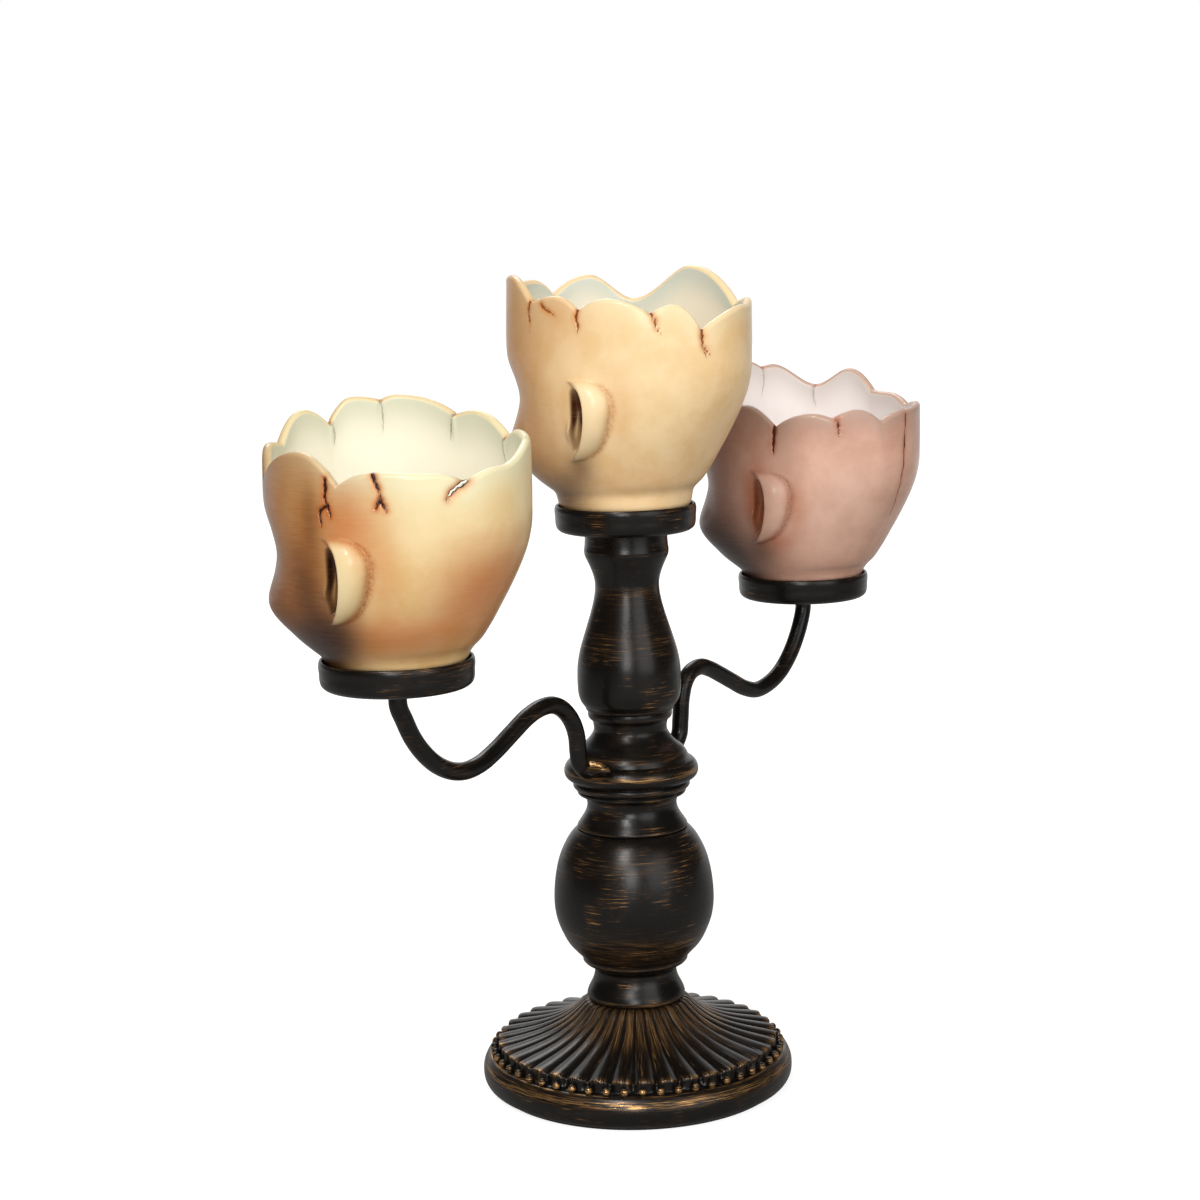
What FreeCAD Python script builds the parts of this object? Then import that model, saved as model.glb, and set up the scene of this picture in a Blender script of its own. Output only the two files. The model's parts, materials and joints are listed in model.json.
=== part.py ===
"""Three-light candelabra with three open doll-head bowls standing loose in its pans.

Frame: millimetres, +Z up. The origin is the centre of the felt ring's underside, on the
axis of the stem. The arms lie along X, and the faces of the heads look along +Y.
"""
import FreeCAD, Part
import math
import os

import Sketcher

SHEET = "Sizes"

SIZES = {
    # foot: a hollow casting with a rolled edge, a ring of beads and a fluted dome
    "foot_radius": 77.5,
    "foot_height": 43.5,
    "foot_underside_reach": 71.5,
    "foot_inner_reach": 63.5,
    "foot_edge_widest_height": 8.6,
    "foot_land_height": 17.2,
    "foot_land_reach": 73.6,
    "dome_edge_reach": 69.5,
    "dome_edge_height": 23.0,
    "dome_top_reach": 25.5,
    "foot_wall": 3.2,
    "foot_plate": 4.2,
    "dome_hollow_share": 0.085,
    "roll_bow_share": 0.19,
    "bead_radius": 1.9,
    "bead_ring_reach": 71.55,
    "bead_sink": 0.7,
    "bead_height": 3.6,
    "bead_count": 52,
    "flute_count": 38,
    "flute_outer_width": 6.4,
    "flute_outer_depth": 1.9,
    "flute_inner_width": 2.4,
    "flute_inner_depth": 0.9,
    "flute_overrun": 3.0,
    "felt_thickness": 1.5,
    "felt_width": 7.0,
    # stem, from the foot up
    "rod_radius": 4.0,
    "rod_gap": 0.25,
    "stem_end_wall": 3.5,
    "stem_wall": 3.0,
    "foot_collar_height": 15.0,
    "foot_collar_radius": 24.4,
    "foot_collar_toe_height": 1.8,
    "foot_collar_toe_inset": 1.5,
    "foot_collar_lip": 1.0,
    "waist_radius": 20.3,
    "globe_radius": 39.7,
    "globe_height": 72.3,
    "globe_widest_height": 37.5,
    "globe_step_radius": 26.0,
    "globe_step_height": 5.2,
    "globe_lower_radius": 27.6,
    "globe_lower_height": 8.2,
    "globe_upper_radius": 28.4,
    "globe_shoulder": 0.9,
    "globe_neck_height": 15.4,
    "globe_neck_foot_radius": 27.3,
    "globe_neck_lip": 0.8,
    "globe_neck_waist": 22.1,
    "globe_neck_waist_height": 12.0,
    "ring_height": 19.4,
    "ring_radius": 33.2,
    "ring_foot_radius": 22.8,
    "ring_step_radius": 28.4,
    "ring_step_height": 6.0,
    "ring_lip": 1.0,
    "ring_disc_radius": 26.6,
    "ring_disc_height": 2.4,
    "ring_widest_height": 13.6,
    "ring_top_radius": 28.6,
    "vase_collar_height": 24.4,
    "vase_collar_foot_radius": 27.8,
    "vase_collar_bulge_radius": 25.6,
    "vase_collar_bulge_height": 6.2,
    "vase_collar_waist": 17.9,
    "vase_collar_waist_height": 16.6,
    "vase_collar_top_radius": 21.2,
    "vase_height": 62.8,
    "vase_foot_radius": 21.6,
    "vase_foot_lip": 0.8,
    "vase_lower_radius": 24.2,
    "vase_lower_height": 5.0,
    "vase_upper_radius": 23.3,
    "vase_upper_height": 32.0,
    "vase_slope_radius": 18.7,
    "vase_slope_height": 47.0,
    "vase_neck_radius": 15.7,
    "top_collar_foot_radius": 15.9,
    "top_collar_radius": 20.7,
    "top_collar_flare_height": 14.0,
    "top_collar_top_radius": 20.0,
    # pans: spun dishes with an upright rim
    "pan_radius": 34.3,
    "pan_height": 13.3,
    "pan_wall": 1.5,
    "pan_floor": 1.6,
    "pan_corner": 4.0,
    "centre_pan_rim_height": 291.9,
    "side_pan_rim_height": 240.1,
    # arms: bent round tube, one each side
    "arm_radius": 4.3,
    "arm_bore": 2.9,
    "arm_drop_reach": 39.8,
    "arm_foot_bend": 8.5,
    "arm_seat_sink": 1.0,
    "arm_seat_reach": 28.3,
    "left_arm_reach": 158.8,
    "left_arm_valley_height": 181.0,
    "left_arm_valley_share": 0.34,
    "left_arm_peak_height": 201.8,
    "left_arm_peak_share": 0.175,
    "right_arm_reach": 146.7,
    "right_arm_valley_height": 182.8,
    "right_arm_valley_share": 0.379,
    "right_arm_peak_height": 202.3,
    "right_arm_peak_share": 0.163,
    # fasteners
    "screw_radius": 1.5,
    "screw_head_radius": 3.6,
    "screw_head_height": 2.2,
    "screw_length": 10.0,
    "screw_gap": 0.15,
    "insert_length": 8.0,
    "insert_collar": 2.6,
    "insert_clearance": 0.5,
    "washer_radius": 9.0,
    "washer_thickness": 1.2,
    "nut_corner_radius": 7.5,
    "nut_height": 3.5,
    "rod_end": 0.8,
    # heads: moulded shells, open at the broken crown, all from one mould
    "head_half_width": 52.5,
    "head_front": 57.8,
    "head_back": 68.4,
    "head_crown": 100.0,
    "head_blank": 24.0,
    "head_wall": 4.6,
    "head_floor": 7.0,
    "neck_fit_gap": 1.0,
    "neck_height": 12.5,
    "neck_step": 1.9,
    "centre_neck_rise": 3.8,
    "neck_recess_radius": 14.0,
    "neck_recess_depth": 6.5,
    "cheek_bulge": 5.0,
    "chin_bulge": 3.0,
    "nose_radius": 7.0,
    "nose_half_length": 6.0,
    "ear_half_height": 18.8,
    "ear_half_depth": 12.5,
    "ear_root_depth": 9.0,
    "ear_stand": 6.5,
    "ear_taper": 6.0,
    "ear_lean": 5.0,
    "ear_fold": 2.4,
    "ear_hollow_depth": 6.4,
    "ear_hollow_half_depth": 5.6,
    "ear_hollow_forward": 8.2,
    "ear_back": 23.0,
    "ear_height": 39.0,
    "right_head_turn": -4.6,
    "left_head_turn": 1.2,
    "cut_overrun": 6.0,
}

# Each level of a bead: its height and its reach, as shares of the bead's own.
BEAD_SHARES = ((0.0, 1.0), (0.5, 0.96), (1.0, 0.42))
BEAD_SIDES = 8
FLUTE_SECTION_SHARES = (-0.03, 0.3, 0.65, 1.03)
QUARTER_BOW_SHARE = (math.sqrt(2) - 1) / 2
SCREW_HEAD_BOW_SHARE = 0.15

# How far each side of a stem piece's outline bows out, foot to top, as a share of its length.
BOW_SHARES = {
    "foot_collar": (0.2, -0.1, 0.0, 0.0),
    "globe": (-0.08, 0.0, 0.097, 0.078, 0.15, 0.0),
    "globe_hollow": (0.0, 0.0, 0.08, 0.07, 0.0, 0.0),
    "globe_neck": (0.0, -0.06, -0.08, 0.0),
    "arm_ring_blank": (-0.1, 0.12, 0.0, 0.17, 0.2, 0.0),
    "vase_collar": (0.08, -0.02, -0.17, 0.0),
    "vase": (0.0, 0.08, 0.066, 0.02, -0.04, 0.0),
    "vase_hollow": (0.0, 0.0, 0.05, 0.0, 0.0, 0.0, 0.0),
    "top_collar": (-0.12, 0.04, 0.0),
}

# Heights above the neck, then half width, front and back reach, as shares of the head's sizes.
LEVEL_SHARES = (
    (0.066, 0.695, 0.735, 0.556),
    (0.136, 0.781, 0.839, 0.626),
    (0.216, 0.857, 0.891, 0.702),
    (0.316, 0.924, 0.891, 0.801),
    (0.406, 0.958, 0.865, 0.883),
    (0.486, 0.977, 0.858, 0.944),
    (0.576, 0.994, 0.934, 0.985),
    (0.696, 1.0, 0.991, 1.0),
    (0.856, 1.0, 1.0, 0.997),
    (1.036, 0.985, 0.988, 0.985),
)
LEVEL_POINTS = 24
CHEEK_ANGLE = 40.0
CHEEK_SPREAD = 24.0
CHEEK_SHARES = (0.19, 0.1)
CHIN_SPREAD = 16.0
CHIN_SHARES = (0.1, 0.055)
NOSE_HEIGHT_SHARE = 0.375
NOSE_REACH_SHARE = 0.9
CAVITY_FOOT_SHARE = 0.62

# Each lobe of a broken rim: the angle where it starts, counted from +X towards +Y, then the
# height of that notch and of the lobe's top, as shares of the head's height over its neck.
LEFT_RIM_SHARES = (
    (5.5, 1.027, 1.082), (47.8, 1.09, 1.107), (73.8, 0.992, 1.057), (105.0, 0.927, 0.937),
    (138.0, 0.812, 0.937), (199.8, 0.807, 0.862), (253.0, 0.817, 0.932), (326.0, 0.934, 1.025),
)
CENTRE_RIM_SHARES = (
    (33.0, 0.9325, 1.0475), (77.5, 0.96, 1.045), (123.0, 1.025, 1.07), (165.8, 0.9425, 0.975),
    (198.2, 0.9045, 0.96), (233.0, 0.8865, 0.9265), (254.2, 0.8065, 0.9095),
    (317.0, 0.9075, 1.09),
)
RIGHT_RIM_SHARES = (
    (31.2, 0.962, 1.065), (64.2, 1.062, 1.095), (95.0, 1.022, 1.07), (142.0, 0.962, 1.015),
    (174.0, 0.912, 0.915), (206.2, 0.814, 0.88), (235.5, 0.858, 0.895), (258.0, 0.837, 0.9),
    (317.0, 0.876, 0.93), (349.5, 0.937, 1.045),
)


class Size:
    """A value together with the sheet expression that gives it."""

    def __init__(self, value, text):
        self.value = float(value)
        self.text = text

    def __add__(self, other):
        return Size(self.value + other.value, f"({self.text} + {other.text})")

    def __sub__(self, other):
        return Size(self.value - other.value, f"({self.text} - {other.text})")

    def __mul__(self, other):
        other = other if isinstance(other, Size) else Size(other, str(other))
        return Size(self.value * other.value, f"({self.text} * {other.text})")

    def __truediv__(self, number):
        return Size(self.value / number, f"({self.text} / {number})")

    def bind(self, target, path):
        """Tie a property or a constraint of the target to this size."""
        target.setExpression(path, self.text)


ZERO = Size(0, "0")
doc = FreeCAD.newDocument("candelabra")


def make_sheet():
    """Write the sizes into the sheet and return them by name."""
    sheet = doc.addObject("Spreadsheet::Sheet", SHEET)
    for row, (name, value) in enumerate(SIZES.items(), start=1):
        sheet.set(f"A{row}", name)
        sheet.set(f"B{row}", str(value))
        sheet.setAlias(f"B{row}", name)
    doc.recompute()
    return {name: Size(value, f"{SHEET}.{name}") for name, value in SIZES.items()}


S = make_sheet()


def origin_plane(body, role):
    """Return the body's own origin plane of this role."""
    return next(f for f in body.Origin.OriginFeatures if f.Role == role)


def new_sketch(body, name, role):
    """Add a sketch on one of the body's own origin planes."""
    sketch = body.newObject("Sketcher::SketchObject", name)
    sketch.AttachmentSupport = [(origin_plane(body, role), "")]
    sketch.MapMode = "FlatFace"
    return sketch


def pin(sketch, geometry, position, across, up):
    """Hold a point of the sketch at two named sizes from the sketch's origin."""
    for kind, size in (("DistanceX", across), ("DistanceY", up)):
        index = sketch.addConstraint(
            Sketcher.Constraint(kind, -1, 1, geometry, position, size.value))
        size.bind(sketch, f"Constraints[{index}]")


def arc_through(start, middle, end):
    """Return the circle's arc, run counterclockwise, through three points."""
    arc = Part.Arc(*(FreeCAD.Vector(x, y, 0) for x, y in (start, middle, end))).toShape().Curve
    centre = arc.Center
    first, last = (math.atan2(y - centre.y, x - centre.x) for x, y in (start, end))
    circle = Part.Circle(centre, FreeCAD.Vector(0, 0, 1), arc.Radius)
    return circle, first, last


def draw_outline(sketch, points):
    """Draw a closed outline of points (across, up, bow share).

    A side with a bow is an arc that stands out to the right of its direction by that
    share of its chord, and any other side is straight.
    """
    sides = []
    for index, (across, up, bow) in enumerate(points):
        next_across, next_up, _ = points[(index + 1) % len(points)]
        start = (across.value, up.value)
        end = (next_across.value, next_up.value)
        if not bow:
            line = Part.LineSegment(FreeCAD.Vector(*start, 0), FreeCAD.Vector(*end, 0))
            sides.append((sketch.addGeometry(line, False), 1, 2))
            continue
        middle_across = (across + next_across) / 2 + (next_up - up) * bow
        middle_up = (up + next_up) / 2 - (next_across - across) * bow
        middle = (middle_across.value, middle_up.value)
        circle, first, last = arc_through(start, middle, end)
        ends = (first, last) if bow.value > 0 else (last, first)
        low, high = ends if ends[1] > ends[0] else (ends[0], ends[1] + 2 * math.pi)
        arc = sketch.addGeometry(Part.ArcOfCircle(circle, low, high), False)
        sides.append((arc, 1, 2) if bow.value > 0 else (arc, 2, 1))
        mark = sketch.addGeometry(Part.Point(FreeCAD.Vector(*middle, 0)), True)
        sketch.addConstraint(Sketcher.Constraint("PointOnObject", mark, 1, arc))
        pin(sketch, mark, 1, middle_across, middle_up)
    for index, (side, first, last) in enumerate(sides):
        following, start, _ = sides[(index + 1) % len(sides)]
        sketch.addConstraint(Sketcher.Constraint("Coincident", side, last, following, start))
        pin(sketch, side, first, points[index][0], points[index][1])


def new_body(label, across=ZERO, up=ZERO):
    """Start a body whose Placement follows named sizes."""
    body = doc.addObject("PartDesign::Body", label)
    body.Label = label
    body.Placement.Base = FreeCAD.Vector(across.value, 0, up.value)
    across.bind(body, ".Placement.Base.x")
    up.bind(body, ".Placement.Base.z")
    return body


def revolve(body, name, points, kind="PartDesign::Revolution"):
    """Turn an outline about the body's own vertical axis."""
    sketch = new_sketch(body, f"{name}_outline", "XZ_Plane")
    draw_outline(sketch, points)
    turned = body.newObject(kind, name)
    turned.Profile = sketch
    turned.ReferenceAxis = (sketch, ["V_Axis"])
    turned.Angle = 360
    body.Tip = turned
    return turned


def share(number):
    """Wrap a plain share so that it can stand in an expression."""
    return Size(number, str(number))


STRAIGHT = None
ROD_BORE = S["rod_radius"] + S["rod_gap"]


def bowed(label, points):
    """Join each outline point (across, up) with its own bow."""
    bows = (share(bow) if bow else STRAIGHT for bow in BOW_SHARES[label])
    return [(*point, bow) for point, bow in zip(points, bows, strict=True)]


def stem_piece(label, base, height, side, hollow=None):
    """Turn one bored piece of the stem from its side points, foot to top."""
    body = new_body(label, ZERO, base)
    foot = [(ROD_BORE, ZERO, STRAIGHT)]
    top = [(ROD_BORE, height, STRAIGHT)]
    revolve(body, f"{label}_turned", foot + bowed(label, side) + top)
    if hollow:
        points = bowed(f"{label}_hollow", hollow)
        revolve(body, f"{label}_hollow", points, "PartDesign::Groove")
    return body


def felt_ring():
    """The felt ring glued under the foot's flat edge."""
    reach = S["foot_underside_reach"]
    inner = reach - S["felt_width"]
    revolve(new_body("foot_felt"), "felt_turned", [
        (inner, ZERO, STRAIGHT), (reach, ZERO, STRAIGHT),
        (reach, S["felt_thickness"], STRAIGHT), (inner, S["felt_thickness"], STRAIGHT)])


def dome_height(distance_share):
    """Height of the dome at a share of the way from its top to its edge, as a size."""
    drop = (S["foot_height"] - S["dome_edge_height"]) * distance_share
    sag_share = 4 * distance_share * (1 - distance_share)
    span = S["dome_edge_reach"] - S["dome_top_reach"]
    return S["foot_height"] - drop - span * S["dome_hollow_share"] * sag_share


def flute_section(body, index, distance_share):
    """One V section of a groove, on a plane across the dome."""
    span = S["dome_edge_reach"] - S["dome_top_reach"]
    reach = S["dome_top_reach"] + span * distance_share
    width = S["flute_inner_width"] + (S["flute_outer_width"] - S["flute_inner_width"]) * distance_share
    depth = S["flute_inner_depth"] + (S["flute_outer_depth"] - S["flute_inner_depth"]) * distance_share
    sketch = new_sketch(body, f"flute_section_{index}", "YZ_Plane")
    sketch.AttachmentOffset.Base = FreeCAD.Vector(0, 0, reach.value)
    reach.bind(sketch, ".AttachmentOffset.Base.z")
    surface = dome_height(distance_share)
    over = surface + S["flute_overrun"]
    flare = width * (S["flute_overrun"].value / depth.value) / 2
    half = width / 2 + flare
    draw_outline(sketch, [
        (half * -1, over, STRAIGHT), (ZERO, surface - depth, STRAIGHT), (half, over, STRAIGHT)])
    return sketch


def bead_level(body, index, seat, height_share, reach_share):
    """One flat-sided level of a bead, standing on the land."""
    sketch = new_sketch(body, f"bead_level_{index}", "XY_Plane")
    up = seat + S["bead_height"] * height_share
    sketch.AttachmentOffset.Base = FreeCAD.Vector(0, 0, up.value)
    up.bind(sketch, ".AttachmentOffset.Base.z")
    radius = S["bead_radius"] * reach_share
    corners = []
    for step in range(BEAD_SIDES):
        turn = 2 * math.pi * (step + 0.5) / BEAD_SIDES
        across = S["bead_ring_reach"] + radius * math.cos(turn)
        corners.append((across, radius * math.sin(turn), STRAIGHT))
    draw_outline(sketch, corners)
    return sketch


def foot():
    """The cast foot: rolled edge, bead land, concave dome, hollow below, beads and flutes."""
    body = new_body("foot_dome")
    hollow = S["dome_hollow_share"]
    roll = S["roll_bow_share"] * -1
    wall = S["foot_wall"]
    inside_top = S["foot_height"] - S["foot_plate"]
    revolve(body, "foot_turned", [
        (ROD_BORE, S["foot_height"], STRAIGHT),
        (S["dome_top_reach"], S["foot_height"], hollow),
        (S["dome_edge_reach"], S["dome_edge_height"], STRAIGHT),
        (S["dome_edge_reach"], S["foot_land_height"], STRAIGHT),
        (S["foot_land_reach"], S["foot_land_height"], roll),
        (S["foot_radius"], S["foot_edge_widest_height"], roll),
        (S["foot_underside_reach"], S["felt_thickness"], STRAIGHT),
        (S["foot_inner_reach"], S["felt_thickness"], STRAIGHT),
        (S["dome_edge_reach"] - wall, S["foot_land_height"] - wall, STRAIGHT),
        (S["dome_edge_reach"] - wall, S["dome_edge_height"] - wall, hollow * -1),
        (S["dome_top_reach"] - wall, inside_top, STRAIGHT),
        (ROD_BORE, inside_top, STRAIGHT)])
    seat = S["foot_land_height"] - S["bead_sink"]
    levels = [bead_level(body, index, seat, *shares) for index, shares in enumerate(BEAD_SHARES)]
    bead = body.newObject("PartDesign::AdditiveLoft", "bead")
    bead.Profile = levels[0]
    bead.Sections = levels[1:]
    bead.Ruled = True
    doc.recompute()
    repeat(body, "beads", bead, S["bead_count"])
    sections = [flute_section(body, index, distance_share)
                for index, distance_share in enumerate(FLUTE_SECTION_SHARES)]
    flute = body.newObject("PartDesign::SubtractiveLoft", "flute")
    flute.Profile = sections[0]
    flute.Sections = sections[1:]
    flute.Ruled = True
    doc.recompute()
    repeat(body, "flutes", flute, S["flute_count"])
    return body


def repeat(body, name, feature, count):
    """Repeat a feature evenly about the body's vertical axis."""
    body.Tip = feature
    pattern = body.newObject("PartDesign::PolarPattern", name)
    pattern.Originals = [feature]
    pattern.Axis = (next(f for f in body.Origin.OriginFeatures if f.Role == "Z_Axis"), [""])
    pattern.Angle = 360
    pattern.Occurrences = int(count.value)
    count.bind(pattern, "Occurrences")
    body.Tip = pattern


def seat_heights():
    """The height of each stem piece's foot, stacked from the foot casting up."""
    seats = {"foot_collar": S["foot_height"]}
    stack = (
        ("foot_collar", "globe", "foot_collar_height"),
        ("globe", "globe_neck", "globe_height"),
        ("globe_neck", "arm_ring", "globe_neck_height"),
        ("arm_ring", "vase_collar", "ring_height"),
        ("vase_collar", "vase", "vase_collar_height"),
        ("vase", "top_collar", "vase_height"))
    for below, piece, height in stack:
        seats[piece] = seats[below] + S[height]
    return seats


def stem():
    """The stacked pieces of the stem; returns the ring's blank and the top pan's seat."""
    seats = seat_heights()
    pan_base = S["centre_pan_rim_height"] - S["pan_height"]
    height = S["foot_collar_height"]
    stem_piece("foot_collar", seats["foot_collar"], height, [
        (S["foot_collar_radius"] - S["foot_collar_toe_inset"], ZERO),
        (S["foot_collar_radius"], S["foot_collar_toe_height"]),
        (S["waist_radius"], height - S["foot_collar_lip"]),
        (S["waist_radius"], height)])
    height = S["globe_height"]
    shell = S["stem_wall"]
    end = S["stem_end_wall"]
    stem_piece("globe", seats["globe"], height, [
        (S["waist_radius"], ZERO),
        (S["globe_step_radius"], S["globe_step_height"]),
        (S["globe_lower_radius"], S["globe_lower_height"]),
        (S["globe_radius"], S["globe_widest_height"]),
        (S["globe_upper_radius"], height - S["globe_shoulder"]),
        (S["globe_upper_radius"] - S["globe_shoulder"], height)], [
        (ROD_BORE, end),
        (S["waist_radius"] - shell, end),
        (S["globe_lower_radius"] - shell, S["globe_lower_height"] + end),
        (S["globe_radius"] - shell, S["globe_widest_height"]),
        (S["globe_upper_radius"] - shell, height - end),
        (ROD_BORE, height - end)])
    height = S["globe_neck_height"]
    stem_piece("globe_neck", seats["globe_neck"], height, [
        (S["globe_neck_foot_radius"] - S["globe_neck_lip"], ZERO),
        (S["globe_neck_foot_radius"], S["globe_neck_lip"]),
        (S["globe_neck_waist"], S["globe_neck_waist_height"]),
        (S["ring_foot_radius"], height)])
    height = S["ring_height"]
    ring = stem_piece("arm_ring_blank", seats["arm_ring"], height, [
        (S["ring_foot_radius"], ZERO),
        (S["ring_disc_radius"], S["ring_disc_height"]),
        (S["ring_step_radius"], S["ring_step_height"]),
        (S["ring_step_radius"], S["ring_step_height"] + S["ring_lip"]),
        (S["ring_radius"], S["ring_widest_height"]),
        (S["ring_top_radius"], height)])
    height = S["vase_collar_height"]
    stem_piece("vase_collar", seats["vase_collar"], height, [
        (S["vase_collar_foot_radius"], ZERO),
        (S["vase_collar_bulge_radius"], S["vase_collar_bulge_height"]),
        (S["vase_collar_waist"], S["vase_collar_waist_height"]),
        (S["vase_collar_top_radius"], height)])
    height = S["vase_height"]
    stem_piece("vase", seats["vase"], height, [
        (S["vase_foot_radius"] - S["vase_foot_lip"], ZERO),
        (S["vase_foot_radius"], S["vase_foot_lip"]),
        (S["vase_lower_radius"], S["vase_lower_height"]),
        (S["vase_upper_radius"], S["vase_upper_height"]),
        (S["vase_slope_radius"], S["vase_slope_height"]),
        (S["vase_neck_radius"], height)], [
        (ROD_BORE, end),
        (S["vase_foot_radius"] - shell, end),
        (S["vase_lower_radius"] - shell, S["vase_lower_height"] + end),
        (S["vase_upper_radius"] - shell, S["vase_upper_height"]),
        (S["vase_slope_radius"] - shell, S["vase_slope_height"]),
        (S["vase_neck_radius"] - shell, height - end),
        (ROD_BORE, height - end)])
    height = pan_base - seats["top_collar"]
    stem_piece("top_collar", seats["top_collar"], height, [
        (S["top_collar_foot_radius"], ZERO),
        (S["top_collar_radius"], S["top_collar_flare_height"]),
        (S["top_collar_top_radius"], height)])
    return ring, pan_base


def pan(label, across, base, hole):
    """A spun dish with a bolt hole, its lower edge rounded inside and out."""
    reach = S["pan_radius"]
    inner = reach - S["pan_wall"]
    corner = S["pan_corner"]
    inner_corner = corner - S["pan_wall"]
    quarter = share(QUARTER_BOW_SHARE)
    revolve(new_body(label, across, base), f"{label}_spun", [
        (hole, ZERO, STRAIGHT), (reach - corner, ZERO, quarter),
        (reach, corner, STRAIGHT), (reach, S["pan_height"], STRAIGHT),
        (inner, S["pan_height"], STRAIGHT), (inner, S["pan_floor"] + inner_corner, quarter * -1),
        (inner - inner_corner, S["pan_floor"], STRAIGHT), (hole, S["pan_floor"], STRAIGHT)])


def arm_path(sketch, side):
    """Draw the arm's centre line: down from the pan, valley, slope, peak, drop and seat."""
    reach, low, high = (S[f"{side}_arm_{name}"] for name in ("reach", "valley_height", "peak_height"))
    drop, foot_bend = S["arm_drop_reach"], S["arm_foot_bend"]
    bend = (reach - drop) * S[f"{side}_arm_valley_share"]
    crest = (reach - drop) * S[f"{side}_arm_peak_share"]
    seat_height = seat_heights()["vase_collar"] - S["arm_seat_sink"]
    valley = (reach - bend, low + bend)
    peak = (drop + crest, high - crest)
    heel = (drop - foot_bend, seat_height + foot_bend)
    gap = math.hypot(valley[0].value - peak[0].value, valley[1].value - peak[1].value)
    lean = math.atan2(valley[1].value - peak[1].value, valley[0].value - peak[0].value)
    slope = math.asin((bend.value + crest.value) / gap) - lean
    turn = math.pi / 2 - slope
    spots = {
        "valley": (valley, bend, -math.pi / 2 - slope, 0.0),
        "peak": (peak, crest, turn, math.pi),
        "heel": (heel, foot_bend, -math.pi / 2, 0.0),
    }
    arcs = {}
    for name, (centre, radius, low_angle, high_angle) in spots.items():
        circle = Part.Circle(
            FreeCAD.Vector(centre[0].value, centre[1].value, 0), FreeCAD.Vector(0, 0, 1), radius.value)
        arc = sketch.addGeometry(Part.ArcOfCircle(circle, low_angle, high_angle), False)
        pin(sketch, arc, 3, *centre)
        index = sketch.addConstraint(Sketcher.Constraint("Radius", arc, radius.value))
        radius.bind(sketch, f"Constraints[{index}]")
        arcs[name] = (arc, sketch.Geometry[arc])
    pan_base = S["side_pan_rim_height"] - S["pan_height"]
    top = FreeCAD.Vector(reach.value, pan_base.value, 0)
    seat = FreeCAD.Vector(S["arm_seat_reach"].value, seat_height.value, 0)
    valley_arc, peak_arc, heel_arc = (arcs[name][1] for name in ("valley", "peak", "heel"))
    runs = (
        (top, valley_arc.EndPoint), (valley_arc.StartPoint, peak_arc.StartPoint),
        (peak_arc.EndPoint, heel_arc.EndPoint), (heel_arc.StartPoint, seat))
    lines = [sketch.addGeometry(Part.LineSegment(a, b), False) for a, b in runs]
    joints = (
        (lines[0], 2, "valley", 2), (lines[1], 1, "valley", 1), (lines[1], 2, "peak", 1),
        (lines[2], 1, "peak", 2), (lines[2], 2, "heel", 2), (lines[3], 1, "heel", 1))
    for line, end, name, arc_end in joints:
        sketch.addConstraint(Sketcher.Constraint("Tangent", line, end, arcs[name][0], arc_end))
    for line, end, size, kind in (
            (lines[0], 1, pan_base, "DistanceY"), (lines[3], 2, S["arm_seat_reach"], "DistanceX")):
        index = sketch.addConstraint(Sketcher.Constraint(kind, -1, 1, line, end, size.value))
        size.bind(sketch, f"Constraints[{index}]")


def arm(label, side, radii, turn):
    """Sweep a round section along the arm's centre line."""
    body = new_body(label)
    path = new_sketch(body, f"{label}_path", "XZ_Plane")
    arm_path(path, side)
    section = new_sketch(body, f"{label}_section", "XY_Plane")
    pan_base = S["side_pan_rim_height"] - S["pan_height"]
    reach = S[f"{side}_arm_reach"]
    section.AttachmentOffset.Base = FreeCAD.Vector(reach.value, 0, pan_base.value)
    reach.bind(section, ".AttachmentOffset.Base.x")
    pan_base.bind(section, ".AttachmentOffset.Base.z")
    for radius in radii:
        circle = section.addGeometry(
            Part.Circle(FreeCAD.Vector(0, 0, 0), FreeCAD.Vector(0, 0, 1), radius.value), False)
        section.addConstraint(Sketcher.Constraint("Coincident", circle, 3, -1, 1))
        index = section.addConstraint(Sketcher.Constraint("Radius", circle, radius.value))
        radius.bind(section, f"Constraints[{index}]")
    tube = body.newObject("PartDesign::AdditivePipe", f"{label}_tube")
    tube.Profile = section
    tube.Spine = path
    body.Tip = tube
    body.Placement.Rotation = FreeCAD.Rotation(FreeCAD.Vector(0, 0, 1), turn)
    return body


def seated_ring(blank, envelopes):
    """The ring with a seat cut for the foot of each arm."""
    tools = doc.addObject("Part::MultiFuse", "arm_envelopes")
    tools.Shapes = envelopes
    ring = doc.addObject("Part::Cut", "arm_ring")
    ring.Base = blank
    ring.Tool = tools
    return ring


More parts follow.
